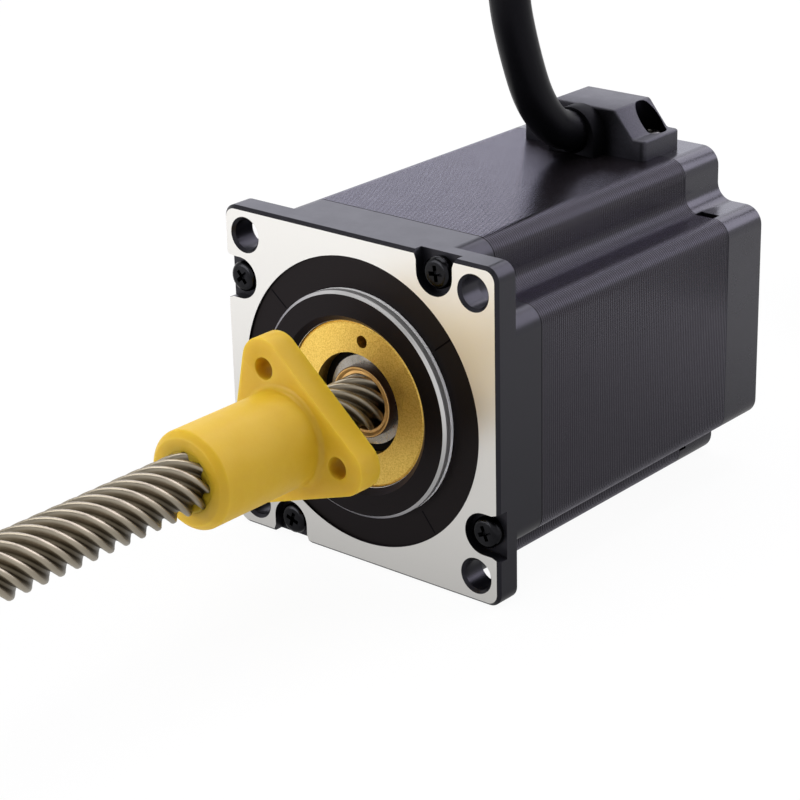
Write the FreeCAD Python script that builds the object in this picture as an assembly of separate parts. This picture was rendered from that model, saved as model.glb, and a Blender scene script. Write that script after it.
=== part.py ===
"""External linear stepper motor: square hybrid motor, multi-start lead screw and flanged drive nut.

Millimetres, +Z up.  The origin is the centre of the mounting face, on the screw's axis.  The screw
points to -Y, the motor's body lies on the +Y side, and the cable clamp sits on top near the rear.
"""
import FreeCAD
import Part

import math
import os

# Body and mounting face
BODY_SIDE = 56.4
CORNER_NOTCH = 9.0
EAR_RADIUS = 3.2
NOTCH_FILLET = 3.0
STACK_LENGTH = 52.1
REAR_WALL = 1.9
REAR_EDGE_CHAMFER = 0.3
FLANGE_THICKNESS = 4.5
FLANGE_CORNER_RADIUS = 2.4
FACE_CHAMFER = 0.55
MOUNT_SPACING = 47.14
MOUNT_HOLE_D = 5.1
MOUNT_HOLE_CHAMFER = 0.5
PILOT_D = 38.1
PILOT_HEIGHT = 1.7
PILOT_CHAMFER = 0.45
RELIEF_WIDTH = 5.35
RELIEF_DEPTH = 0.4
CAVITY_MARGIN = 0.9
SEAM_SLOT_WIDTH = 3.6
SEAM_SLOT_DEPTH = 1.0
SEAM_SLOT_LENGTH = 2.0

# Tie screws, one in an ear of each corner, all on the same hand
TIE_SCREW_D = 3.0
TIE_HEAD_D = 5.2
TIE_HEAD_HEIGHT = 1.7
TIE_ENGAGEMENT = 6.0
TIE_POCKET_WIDTH = 7.1
TIE_POCKET_DEPTH = 2.0
TIE_POCKET_MOUTH_RADIUS = 0.9
SCREW_CLEARANCE = 0.2
THREAD_CLEARANCE = 0.03

# Stator and windings
POLE_COUNT = 8
TEETH_PER_POLE = 6
TOOTH_DEPTH = 0.9
SLOT_DEPTH = 5.82
POLE_WIDTH = 5.4
SHOE_THICKNESS = 1.6
SHOE_TIP_THICKNESS = 1.0
INSULATION = 0.6
COIL_THICKNESS = 2.6
COIL_CORNER_RADIUS = 0.5
WINDING_CLEARANCE = 0.1
END_WALL_OVER_COIL = 0.7
BOARD_THICKNESS = 1.2
BOARD_WIDTH = 6.8
BOARD_TONGUE_WIDTH = 6.0
BOARD_TONGUE_HEIGHT = 2.6
END_CLEARANCE = 0.8

# Rotor
ROTOR_D = 30.0
ROTOR_TEETH = 50
AIR_GAP = 0.08
ROTOR_INSET = 0.6
ROTOR_SECTIONS = 2
CUP_GAP = 1.0
SECTION_SPACER = 1.5
MAGNET_D = 22.0
MAGNET_RECESS = 1.2
SLEEVE_SHOULDER_D = 14.4
SLEEVE_STANDOUT = 1.6
SLEEVE_EDGE_CHAMFER = 0.18
SLEEVE_RIM = 0.16

# Bearings: bore, outside diameter, width and race walls
FRONT_BEARING_BORE = 12.0
FRONT_BEARING_OD = 28.0
FRONT_BEARING_WIDTH = 7.0
FRONT_INNER_WALL = 1.5
FRONT_BALL_D = 4.26
FRONT_BALL_COUNT = 8
REAR_BEARING_BORE = 8.0
REAR_BEARING_OD = 22.0
REAR_BEARING_WIDTH = 7.0
REAR_INNER_WALL = 2.05
REAR_BALL_D = 3.21
REAR_BALL_COUNT = 7
BALL_CLEARANCE = 0.12
BALL_FACETS = 12
SHIELD_THICKNESS = 0.3
SHIELD_INSET = 0.25
SHIELD_GAP = 0.2
BEARING_LIP_WIDTH = 2.0
BEARING_LIP_THICKNESS = 1.3
BEARING_LIP_INSET = 0.6
BEARING_BOSS_WALL = 2.2
WASHER_THICKNESS = 0.8
WASHER_WIDTH = 2.2
RETAINER_RECESS = 1.1
RETAINER_THICKNESS = 2.6
RETAINER_BORE = 17.4
RETAINER_PLAY = 0.1
RETAINER_CHAMFER = 0.3
SPANNER_HOLE_D = 2.1
SPANNER_CIRCLE_D = 22.1
SPANNER_ANGLE = 7.8

# Lead screw and drive nut
SCREW_D = 9.525
SCREW_REACH = 101.6
SCREW_END_CHAMFER = 0.8
JOURNAL_STUB = 0.2
NUT_GAP = 13.4
NUT_FLANGE_THICKNESS = 4.5
NUT_BARREL_D = 15.9
NUT_BARREL_LENGTH = 21.2
NUT_END_CHAMFER = 1.05
NUT_NECK_FILLET = 1.0
NUT_CORNER_CIRCLE_D = 24.0
NUT_CORNER_RADIUS = 4.2
NUT_HOLE_CIRCLE_D = 22.4
NUT_HOLE_D = 3.6
NUT_CORNERS = 3
NUT_TURN = -18.4
NUT_BORE_CLEARANCE = 0.06

# Cable clamp, its screws and its grommet
CLAMP_OFFSET = 1.0
CLAMP_LENGTH = 25.5
CLAMP_DEPTH = 10.7
CLAMP_OVERHANG = 4.4
CLAMP_ROOF = 0.45
CLAMP_FOOT_HEIGHT = 3.4
CLAMP_FOOT_LENGTH = 2.5
CLAMP_TOP_LENGTH = 13.0
CLAMP_EDGE_RADIUS = 0.5
CLAMP_REAR_WALL = 1.5
CLAMP_SCREW_SPACING = 18.0
CLAMP_SCREW_INSET = 7.4
CLAMP_SCREW_D = 2.6
CLAMP_SCREW_HEAD_D = 4.6
CLAMP_SCREW_HEAD_HEIGHT = 1.5
CLAMP_SCREW_REACH = 4.0
CLAMP_RECESS_D = 5.8
CLAMP_RECESS_FLOOR = 0.9
GROMMET_WALL = 0.3
GROMMET_FLANGE_WALL = 1.0
GROMMET_STANDOUT = 3.4
GROMMET_NECK_LENGTH = 4.0
GROMMET_FIT = 0.25

# Cable
CABLE_D = 6.8
CABLE_LIFT = 0.2
CABLE_GRIP = 4.3
CABLE_LENGTH = 914.4
LEAD_D = 1.1
LEAD_COUNT = 4
LEAD_PITCH = 1.4
LEAD_BEND_RADIUS = 1.6
FLYING_LEAD_LENGTH = 34.0
FLYING_LEAD_SPLAY = 4.0
FLYING_LEAD_ANGLE = 285.0
COIL_CIRCLE_D = 68.0
COIL_CENTRE = (18.2, 172.4)
COIL_COLUMNS = 1
COIL_LAYERS = 3
COIL_TURN_PITCH = 7.0
COIL_LAYER_RISE = 6.9
COIL_EDGE_CHAMFER = 2.0
TIE_BAND_THICKNESS = 0.9
TIE_BAND_WIDTH = 4.0
TIE_BAND_ANGLE = 110.0
TIE_BAND_SLACK = 0.15
CABLE_ROUTE = [
    (1.0, 62.9, 31.8),
    (1.0, 53.0, 31.8),
    (1.0, 45.5, 38.6),
    (1.0, 41.2, 48.2),
    (1.0, 37.6, 60.0),
    (1.1, 37.9, 80.5),
    (5.0, 47.6, 98.6),
    (11.5, 64.0, 108.8),
    (19.2, 83.1, 108.8),
    (25.7, 99.5, 98.6),
    (30.2, 110.7, 81.4),
    (33.8, 119.8, 52.7),
    (36.2, 125.8, 21.5),
    (39.2, 133.2, 5.2),
    (43.9, 144.9, -5.5),
    (49.8, 159.8, -10.1),
    (52.1, 174.9, -10.1),
]

# Body outline
HALF = BODY_SIDE / 2
NOTCH_WALL = HALF - CORNER_NOTCH
TIE_ALONG = NOTCH_WALL - EAR_RADIUS
TIE_ACROSS = HALF - EAR_RADIUS

# Places along the motor's axis, from the mounting face to the rear
RETAINER_FRONT = RETAINER_RECESS - PILOT_HEIGHT
FRONT_BEARING_FRONT = RETAINER_FRONT + RETAINER_THICKNESS
FRONT_BEARING_REAR = FRONT_BEARING_FRONT + FRONT_BEARING_WIDTH
STACK_FRONT = FRONT_BEARING_REAR + BEARING_LIP_THICKNESS + BEARING_LIP_INSET
STACK_REAR = STACK_FRONT + STACK_LENGTH
REAR_BEARING_FRONT = STACK_REAR + END_CLEARANCE
REAR_BEARING_REAR = REAR_BEARING_FRONT + REAR_BEARING_WIDTH
REAR_SEAT = REAR_BEARING_REAR + WASHER_THICKNESS
BODY_REAR = REAR_SEAT + REAR_WALL

# Bearing races
FRONT_INNER_R = FRONT_BEARING_BORE / 2 + FRONT_INNER_WALL
FRONT_OUTER_R = FRONT_INNER_R + FRONT_BALL_D + 2 * BALL_CLEARANCE
REAR_INNER_R = REAR_BEARING_BORE / 2 + REAR_INNER_WALL
REAR_OUTER_R = REAR_INNER_R + REAR_BALL_D + 2 * BALL_CLEARANCE

# Stator and winding radii
ROTOR_R = ROTOR_D / 2
BORE_R = ROTOR_R + AIR_GAP
TOOTH_PITCH = 360.0 / ROTOR_TEETH
POLE_PITCH = 360.0 / POLE_COUNT
SHOE_R = BORE_R + TOOTH_DEPTH + SHOE_THICKNESS
SHOE_TIP_R = BORE_R + TOOTH_DEPTH + SHOE_TIP_THICKNESS
YOKE_R = SHOE_R + SLOT_DEPTH
CAVITY_R = YOKE_R + CAVITY_MARGIN
INSULATOR_HALF = POLE_WIDTH / 2 + INSULATION
COIL_HALF = INSULATOR_HALF + COIL_THICKNESS
WINDOW_TOP = math.sqrt(YOKE_R ** 2 - COIL_HALF ** 2) - WINDING_CLEARANCE
WINDOW_BOTTOM = SHOE_R + WINDING_CLEARANCE
COIL_TOP = WINDOW_TOP - INSULATION
COIL_BOTTOM = WINDOW_BOTTOM + INSULATION
END_TURN = INSULATION + COIL_THICKNESS
END_WALL = END_TURN + END_WALL_OVER_COIL
BOARD_FRONT = STACK_REAR + END_WALL
BOARD_REAR = BOARD_FRONT + BOARD_THICKNESS
BOARD_R = CAVITY_R - SCREW_CLEARANCE
CAVITY_REAR = BOARD_REAR + END_CLEARANCE

# Nut and screw places
NUT_REAR = -NUT_GAP
NUT_FACE = NUT_REAR - NUT_FLANGE_THICKNESS
NUT_END = NUT_FACE - NUT_BARREL_LENGTH
SCREW_R = SCREW_D / 2
SLEEVE_R = FRONT_BEARING_BORE / 2
SLEEVE_FRONT = FRONT_BEARING_FRONT - SLEEVE_STANDOUT
SLEEVE_COUNTERSINK = SLEEVE_R - SLEEVE_EDGE_CHAMFER - SLEEVE_RIM - SCREW_R

# Clamp and cable places
CABLE_R = CABLE_D / 2
CABLE_RISE = CABLE_R + CABLE_LIFT
CABLE_Z = HALF + CABLE_RISE
CLAMP_FRONT = STACK_REAR - CLAMP_OVERHANG
CLAMP_REAR = CLAMP_FRONT + CLAMP_DEPTH
CLAMP_SCREW_Y = CLAMP_FRONT + CLAMP_SCREW_INSET
GROMMET_NECK_R = CABLE_R + GROMMET_FIT + GROMMET_WALL
CLAMP_HEIGHT = CABLE_RISE + GROMMET_NECK_R + CLAMP_ROOF
GROMMET_FLANGE_R = CABLE_R + GROMMET_FIT + GROMMET_FLANGE_WALL
COIL_BASE = -HALF + TIE_BAND_THICKNESS
COIL_BAND = COIL_COLUMNS * COIL_TURN_PITCH
COIL_INNER_R = (COIL_CIRCLE_D - COIL_BAND) / 2
COIL_OUTER_R = (COIL_CIRCLE_D + COIL_BAND) / 2
COIL_HEIGHT = CABLE_D + (COIL_LAYERS - 1) * COIL_LAYER_RISE

ALONG = FreeCAD.Vector(0, 1, 0)
UP = FreeCAD.Vector(0, 0, 1)
CENTRE = FreeCAD.Vector(0, 0, 0)
QUARTER_TURNS = (0, 90, 180, 270)


def vec(x, y, z):
    """A point or direction in the part's frame."""
    return FreeCAD.Vector(x, y, z)


def polar(radius, degrees):
    """Point of the XZ plane at an angle from +Z towards +X."""
    angle = math.radians(degrees)
    return radius * math.sin(angle), radius * math.cos(angle)


def rod(radius, start, end, x=0.0, z=0.0):
    """Solid cylinder parallel to the motor's axis, from one Y to another."""
    return Part.makeCylinder(radius, end - start, vec(x, start, z), ALONG)


def ring(inner, outer, start, end):
    """Washer-shaped solid on the motor's axis."""
    return rod(outer, start, end).cut(rod(inner, start, end))


def cone(start_radius, end_radius, start, end, x=0.0, z=0.0):
    """Solid cone frustum parallel to the motor's axis."""
    return Part.makeCone(start_radius, end_radius, end - start, vec(x, start, z), ALONG)


def box(x_range, y_range, z_range):
    """Axis-aligned block between three pairs of limits."""
    corner = vec(x_range[0], y_range[0], z_range[0])
    size = vec(x_range[1], y_range[1], z_range[1]) - corner
    return Part.makeBox(size.x, size.y, size.z, corner)


def turned(shape, degrees):
    """Copy turned about the motor's axis, from +Z towards +X."""
    copy = shape.copy()
    copy.rotate(CENTRE, ALONG, degrees)
    return copy


def moved(shape, x, y, z):
    """Copy moved by an offset."""
    copy = shape.copy()
    copy.translate(vec(x, y, z))
    return copy


def pattern(shape, angles):
    """Copies turned about the motor's axis."""
    return [turned(shape, angle) for angle in angles]


def fused(shapes):
    """One solid from several that overlap."""
    return shapes[0].multiFuse(shapes[1:]).removeSplitter()


def rounded_wire(corners, y=0.0):
    """Closed XZ outline through corners given as (x, z, radius), each rounded by its radius."""
    edges = []
    ends = []
    count = len(corners)
    for index, (x, z, radius) in enumerate(corners):
        point = vec(x, y, z)
        before = corners[index - 1]
        after = corners[(index + 1) % count]
        back = (vec(before[0], y, before[1]) - point).normalize()
        ahead = (vec(after[0], y, after[1]) - point).normalize()
        if radius <= 0:
            ends.append((point, point, None))
            continue
        half_angle = back.getAngle(ahead) / 2
        reach = radius / math.tan(half_angle)
        bisector = (back + ahead).normalize()
        middle = point + bisector * (radius / math.sin(half_angle) - radius)
        ends.append((point + back * reach, point + ahead * reach, middle))
    for index, (start, end, middle) in enumerate(ends):
        if middle is not None:
            edges.append(Part.Arc(start, middle, end).toShape())
        following = ends[(index + 1) % count][0]
        edges.append(Part.LineSegment(end, following).toShape())
    return Part.Wire(edges)


def circle_wire(radius, y, x=0.0, z=0.0):
    """Circle in a plane across the motor's axis."""
    return Part.Wire([Part.Circle(vec(x, y, z), ALONG, radius).toShape()])


def plate(outer, holes, length):
    """Outline with holes, extruded along the motor's axis."""
    face = Part.makeFace([outer] + holes, "Part::FaceMakerBullseye")
    return face.extrude(ALONG * length)


def notched_square(y):
    """Body outline: a square with a rounded notch cut out of each corner."""
    corners = []
    for x_sign, z_sign in ((1, 1), (1, -1), (-1, -1), (-1, 1)):
        top = (x_sign * NOTCH_WALL, z_sign * HALF, EAR_RADIUS)
        inner = (x_sign * NOTCH_WALL, z_sign * NOTCH_WALL, NOTCH_FILLET)
        side = (x_sign * HALF, z_sign * NOTCH_WALL, EAR_RADIUS)
        corners += [top, inner, side] if x_sign * z_sign > 0 else [side, inner, top]
    return rounded_wire(corners, y)


def edges_at(shape, y, tolerance=1e-4):
    """Edges of a shape that lie in one plane across the motor's axis."""
    flat = []
    for edge in shape.Edges:
        bounds = edge.BoundBox
        if abs(bounds.YMin - y) < tolerance and abs(bounds.YMax - y) < tolerance:
            flat.append(edge)
    return flat


def tie_pocket():
    """Open pocket of one tie screw: a round-ended slot that runs out through the flange's edge."""
    half = TIE_POCKET_WIDTH / 2
    mouth = TIE_POCKET_MOUTH_RADIUS
    edge = HALF - FACE_CHAMFER
    offsets = [(half, 0.0), (half, edge - mouth - TIE_ACROSS), (half + mouth, HALF + mouth - TIE_ACROSS)]
    right = [vec(TIE_ALONG + x, 0, TIE_ACROSS + z) for x, z in offsets]
    left = [vec(TIE_ALONG - x, 0, TIE_ACROSS + z) for x, z in reversed(offsets)]
    floor = Part.Arc(left[-1], vec(TIE_ALONG, 0, TIE_ACROSS - half), right[0]).toShape()
    sides = Part.makePolygon(right + left)
    return plate(Part.Wire([floor] + sides.Edges), [], TIE_POCKET_DEPTH)


def tie_bore(radius, start, end):
    """Bore for one tie screw, in the first ear."""
    return rod(radius, start, end, TIE_ALONG, TIE_ACROSS)


def mount_hole(x, z):
    """One through hole of the flange, chamfered at the mounting face."""
    radius = MOUNT_HOLE_D / 2
    bore = rod(radius, 0, FLANGE_THICKNESS, x, z)
    return bore.fuse(cone(radius + MOUNT_HOLE_CHAMFER, radius, 0, MOUNT_HOLE_CHAMFER, x, z))


def front_cap():
    """Front casting: mounting flange, pilot, bearing seat and the hollow for the front end turns."""
    corner = FLANGE_CORNER_RADIUS
    square = [(HALF, HALF, corner), (HALF, -HALF, corner), (-HALF, -HALF, corner), (-HALF, HALF, corner)]
    flange = plate(rounded_wire(square), [], FLANGE_THICKNESS)
    flange = flange.makeChamfer(FACE_CHAMFER, edges_at(flange, 0))
    cap = plate(notched_square(FLANGE_THICKNESS), [], STACK_FRONT - FLANGE_THICKNESS)
    pilot_r = PILOT_D / 2
    pilot = rod(pilot_r, PILOT_CHAMFER - PILOT_HEIGHT, FLANGE_THICKNESS)
    pilot_edge = cone(pilot_r - PILOT_CHAMFER, pilot_r, -PILOT_HEIGHT, PILOT_CHAMFER - PILOT_HEIGHT)
    solid = fused([flange, cap, pilot, pilot_edge])
    lip_r = FRONT_BEARING_OD / 2 - BEARING_LIP_WIDTH
    lip_rear = FRONT_BEARING_REAR + BEARING_LIP_THICKNESS
    boss_r = FRONT_BEARING_OD / 2 + BEARING_BOSS_WALL
    cuts = [
        ring(pilot_r, pilot_r + RELIEF_WIDTH, 0, RELIEF_DEPTH),
        rod(FRONT_BEARING_OD / 2, -PILOT_HEIGHT, FRONT_BEARING_REAR),
        rod(lip_r, FRONT_BEARING_REAR, STACK_FRONT),
        rod(boss_r, lip_rear, STACK_FRONT),
        ring(boss_r, CAVITY_R, STACK_FRONT - END_WALL - END_CLEARANCE, STACK_FRONT),
    ]
    for angle in QUARTER_TURNS:
        cuts.append(turned(tie_pocket(), angle))
        cuts.append(turned(tie_bore(TIE_SCREW_D / 2 + SCREW_CLEARANCE, 0, STACK_FRONT), angle))
    reach = MOUNT_SPACING / 2
    cuts += [mount_hole(x * reach, z * reach) for x in (-1, 1) for z in (-1, 1)]
    return solid.cut(cuts).removeSplitter()


def pole_outline():
    """Bore side of one pole as XZ points: shoe, teeth and shoe again, from -angle to +angle."""
    half_pole = POLE_WIDTH / 2
    shoe_half = (TEETH_PER_POLE - 1) / 2 * TOOTH_PITCH + TOOTH_PITCH / 4
    points = [(-half_pole, SHOE_R), polar(SHOE_TIP_R, -shoe_half)]
    for tooth in range(TEETH_PER_POLE):
        middle = (tooth - (TEETH_PER_POLE - 1) / 2) * TOOTH_PITCH
        if tooth:
            points.append(polar(BORE_R + TOOTH_DEPTH, middle - TOOTH_PITCH / 4))
        points.append(polar(BORE_R, middle - TOOTH_PITCH / 4))
        points.append(polar(BORE_R, middle + TOOTH_PITCH / 4))
        if tooth < TEETH_PER_POLE - 1:
            points.append(polar(BORE_R + TOOTH_DEPTH, middle + TOOTH_PITCH / 4))
    points += [polar(SHOE_TIP_R, shoe_half), (half_pole, SHOE_R)]
    return points


def bore_wire(y):
    """Inside outline of the lamination: toothed poles between round-backed slots."""
    half_pole = POLE_WIDTH / 2
    root_angle = math.degrees(math.asin(half_pole / YOKE_R))
    edges = []
    for pole in range(POLE_COUNT):
        turn = FreeCAD.Rotation(ALONG, pole * POLE_PITCH)
        flat = [polar(YOKE_R, -root_angle)] + pole_outline() + [polar(YOKE_R, root_angle)]
        points = [turn.multVec(vec(x, y, z)) for x, z in flat]
        edges += [Part.LineSegment(a, b).toShape() for a, b in zip(points, points[1:])]
        slot = [polar(YOKE_R, angle) for angle in (root_angle, POLE_PITCH / 2, POLE_PITCH - root_angle)]
        arc = [turn.multVec(vec(x, y, z)) for x, z in slot]
        edges.append(Part.Arc(*arc).toShape())
    return Part.Wire(edges)


def stator_stack():
    """Lamination stack with toothed poles and a clearance hole for each tie screw."""
    radius = TIE_SCREW_D / 2 + SCREW_CLEARANCE
    hole = circle_wire(radius, STACK_FRONT, TIE_ALONG, TIE_ACROSS)
    holes = pattern(hole, QUARTER_TURNS)
    return plate(notched_square(STACK_FRONT), [bore_wire(STACK_FRONT)] + holes, STACK_LENGTH)


def seam_slot():
    """Small relief in one notch of the rear casting, at its seam with the stack."""
    middle = (NOTCH_WALL + HALF) / 2 - SEAM_SLOT_DEPTH / 2
    across = (middle - SEAM_SLOT_WIDTH / 2, middle + SEAM_SLOT_WIDTH / 2)
    along = (STACK_REAR, STACK_REAR + SEAM_SLOT_LENGTH)
    return box(across, along, (NOTCH_WALL - SEAM_SLOT_DEPTH, NOTCH_WALL + SEAM_SLOT_DEPTH))


def clamp_screw_places():
    """X of the two clamp screws."""
    return [CLAMP_OFFSET + side * CLAMP_SCREW_SPACING / 2 for side in (-1, 1)]


def cable_window():
    """Way for the inner leads, from under the clamp down into the rear casting."""
    half = BOARD_TONGUE_WIDTH / 2 + SCREW_CLEARANCE
    across = (CLAMP_OFFSET - half, CLAMP_OFFSET + half)
    return box(across, (STACK_REAR + END_CLEARANCE, CAVITY_REAR), (BOARD_R - BOARD_WIDTH, HALF))


def rear_cap():
    """Rear casting: bearing seat, hollow for the rear end turns, and threads for the screws."""
    solid = plate(notched_square(STACK_REAR), [], BODY_REAR - STACK_REAR)
    solid = solid.makeChamfer(REAR_EDGE_CHAMFER, edges_at(solid, BODY_REAR))
    boss_r = REAR_BEARING_OD / 2 + BEARING_BOSS_WALL
    cuts = [
        rod(REAR_BEARING_OD / 2, STACK_REAR, REAR_SEAT),
        rod(boss_r, STACK_REAR, REAR_BEARING_FRONT),
        ring(boss_r, CAVITY_R, STACK_REAR, CAVITY_REAR),
        cable_window(),
    ]
    tie_r = TIE_SCREW_D / 2 + THREAD_CLEARANCE
    for angle in QUARTER_TURNS:
        cuts.append(turned(tie_bore(tie_r, STACK_REAR, STACK_REAR + TIE_ENGAGEMENT), angle))
        cuts.append(turned(seam_slot(), angle))
    clamp_r = CLAMP_SCREW_D / 2 + THREAD_CLEARANCE
    for x in clamp_screw_places():
        bottom = vec(x, CLAMP_SCREW_Y, HALF - CLAMP_SCREW_REACH)
        cuts.append(Part.makeCylinder(clamp_r, CLAMP_SCREW_REACH, bottom))
    return solid.cut(cuts).removeSplitter()


def insulator(face, outward):
    """Moulded insulator at one end of the stack: saddles over the poles, end walls and a rim.

    face is the Y of the stack's end, and outward is +1 towards +Y or -1 towards -Y.
    """
    inward = face - outward * STACK_LENGTH / 2

    def span(start, end):
        return tuple(sorted((start, end)))

    over = face + outward * INSULATION
    wall_end = face + outward * END_WALL
    window = (WINDOW_BOTTOM, WINDOW_TOP)
    saddle = box((-INSULATOR_HALF, INSULATOR_HALF), span(inward, over), window)
    saddle = saddle.cut(box((-POLE_WIDTH / 2, POLE_WIDTH / 2), span(inward, face), window))
    inner_wall = box((-INSULATOR_HALF, INSULATOR_HALF), span(face, wall_end), (WINDOW_BOTTOM, COIL_BOTTOM))
    outer_wall = box((-COIL_HALF, COIL_HALF), span(face, wall_end), (COIL_TOP, WINDOW_TOP))
    pole = fused([saddle, inner_wall, outer_wall])
    rim_inner = math.hypot(COIL_HALF, COIL_TOP) + WINDING_CLEARANCE
    rim = ring(rim_inner, CAVITY_R - WINDING_CLEARANCE, *span(face, over))
    poles = pattern(pole, [index * POLE_PITCH for index in range(POLE_COUNT)])
    return fused([rim] + poles)


def coil():
    """Winding of the first pole, a rounded rectangular loop standing on its insulators."""
    front = STACK_FRONT - INSULATION
    rear = STACK_REAR + INSULATION
    wires = []
    for grow, radius in ((COIL_THICKNESS, COIL_THICKNESS + COIL_CORNER_RADIUS), (0.0, 0.0)):
        half = INSULATOR_HALF + grow
        flat = [(half, rear + grow, radius), (half, front - grow, radius),
                (-half, front - grow, radius), (-half, rear + grow, radius)]
        wires.append(rounded_wire(flat))
    face = Part.makeFace(wires, "Part::FaceMakerBullseye")
    face.rotate(CENTRE, vec(1, 0, 0), -90)
    return moved(face.extrude(UP * (COIL_TOP - COIL_BOTTOM)), 0, 0, COIL_BOTTOM)


def connection_board():
    """Ring-shaped board on the rear insulator's walls, with a tongue for the cable's leads."""
    board = ring(BOARD_R - BOARD_WIDTH, BOARD_R, BOARD_FRONT, BOARD_REAR)
    half = BOARD_TONGUE_WIDTH / 2
    across = (CLAMP_OFFSET - half, CLAMP_OFFSET + half)
    upright = (BOARD_R - BOARD_WIDTH / 2, BOARD_R + BOARD_TONGUE_HEIGHT)
    tongue = box(across, (BOARD_FRONT, BOARD_REAR), upright)
    return fused([board, tongue])


def bearing_balls(diameter, inner, middle, count):
    """Balls of one bearing, each turned from a many-sided half round, a little clear of the races."""
    radius = diameter / 2
    place = inner + BALL_CLEARANCE + radius
    steps = [math.pi * step / BALL_FACETS for step in range(BALL_FACETS + 1)]
    half_round = [vec(radius * math.sin(step), -radius * math.cos(step), 0) for step in steps]
    ball = Part.Face(Part.makePolygon(half_round + half_round[:1])).revolve(CENTRE, ALONG, 360)
    ball = moved(ball, 0, middle, place)
    return Part.makeCompound(pattern(ball, [index * 360.0 / count for index in range(count)]))


def front_bearing_shields():
    """Two thin shields in the front bearing's outer race."""
    shields = []
    rear_start = FRONT_BEARING_REAR - SHIELD_INSET - SHIELD_THICKNESS
    for start in (FRONT_BEARING_FRONT + SHIELD_INSET, rear_start):
        shields.append(ring(FRONT_INNER_R + SHIELD_GAP, FRONT_OUTER_R, start, start + SHIELD_THICKNESS))
    return Part.makeCompound(shields)


def bearing_retainer():
    """Screwed ring that holds the front bearing, with two holes for a pin spanner."""
    radius = FRONT_BEARING_OD / 2 - RETAINER_PLAY
    chamfer_end = RETAINER_FRONT + RETAINER_CHAMFER
    body = rod(radius, chamfer_end, FRONT_BEARING_FRONT)
    edge = cone(radius - RETAINER_CHAMFER, radius, RETAINER_FRONT, chamfer_end)
    hole_x, hole_z = polar(SPANNER_CIRCLE_D / 2, SPANNER_ANGLE)
    hole = rod(SPANNER_HOLE_D / 2, RETAINER_FRONT, FRONT_BEARING_FRONT, hole_x, hole_z)
    bore = rod(RETAINER_BORE / 2, RETAINER_FRONT, FRONT_BEARING_FRONT)
    return fused([body, edge]).cut([bore] + pattern(hole, (0, 180)))


def tie_screws():
    """Four long screws that hold the casings and the stack together."""
    seat = TIE_POCKET_DEPTH
    shank = tie_bore(TIE_SCREW_D / 2, seat, STACK_REAR + TIE_ENGAGEMENT - SCREW_CLEARANCE)
    half_height = TIE_HEAD_HEIGHT / 2
    head = tie_bore(TIE_HEAD_D / 2, seat - half_height, seat)
    dome = cone(TIE_HEAD_D / 2 - half_height, TIE_HEAD_D / 2, seat - TIE_HEAD_HEIGHT, seat - half_height,
                TIE_ALONG, TIE_ACROSS)
    return Part.makeCompound(pattern(fused([shank, head, dome]), QUARTER_TURNS))


def rotor_sleeve():
    """Hollow shaft that carries the rotor on the screw, with a shoulder and a countersunk mouth."""
    start = SLEEVE_FRONT + SLEEVE_EDGE_CHAMFER
    tube = rod(SLEEVE_R, start, REAR_BEARING_FRONT)
    edge = cone(SLEEVE_R - SLEEVE_EDGE_CHAMFER, SLEEVE_R, SLEEVE_FRONT, start)
    shoulder = rod(SLEEVE_SHOULDER_D / 2, FRONT_BEARING_REAR, STACK_FRONT + ROTOR_INSET)
    mouth = cone(SCREW_R + SLEEVE_COUNTERSINK, SCREW_R, SLEEVE_FRONT, SLEEVE_FRONT + SLEEVE_COUNTERSINK)
    bore = rod(SCREW_R, SLEEVE_FRONT, REAR_BEARING_FRONT)
    return fused([tube, edge, shoulder]).cut([bore, mouth])


def lead_screw():
    """Screw on its crest diameter, with a journal at the rear bearing and a chamfered free end."""
    chamfer_end = SCREW_END_CHAMFER - SCREW_REACH
    journal_end = REAR_BEARING_REAR + JOURNAL_STUB
    return fused([
        cone(SCREW_R - SCREW_END_CHAMFER, SCREW_R, -SCREW_REACH, chamfer_end),
        rod(SCREW_R, chamfer_end, REAR_BEARING_FRONT),
        rod(REAR_BEARING_BORE / 2, REAR_BEARING_FRONT, journal_end),
    ])


def rotor_lengths():
    """Length of one cup and of one section of two cups, from the stack's length."""
    length = STACK_LENGTH - 2 * ROTOR_INSET
    section = (length - (ROTOR_SECTIONS - 1) * SECTION_SPACER) / ROTOR_SECTIONS
    return (section - CUP_GAP) / 2, section


def toothed_wire(y, offset):
    """Outline of a rotor cup, fifty straight-sided teeth, turned by an offset in degrees."""
    points = []
    root = ROTOR_R - TOOTH_DEPTH
    for tooth in range(ROTOR_TEETH):
        middle = tooth * TOOTH_PITCH + offset
        for radius, share in ((root, -1), (ROTOR_R, -1), (ROTOR_R, 1), (root, 1)):
            x, z = polar(radius, middle + share * TOOTH_PITCH / 4)
            points.append(vec(x, y, z))
    return Part.makePolygon(points + points[:1])


def rotor_cup(start, length, recess_at_rear, offset):
    """Toothed cup with a recess for its half of the magnet."""
    disc = plate(toothed_wire(start, offset), [circle_wire(SLEEVE_R, start)], length)
    end = start + length
    recess = (end - MAGNET_RECESS, end) if recess_at_rear else (start, start + MAGNET_RECESS)
    return disc.cut(rod(MAGNET_D / 2, *recess))


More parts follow.
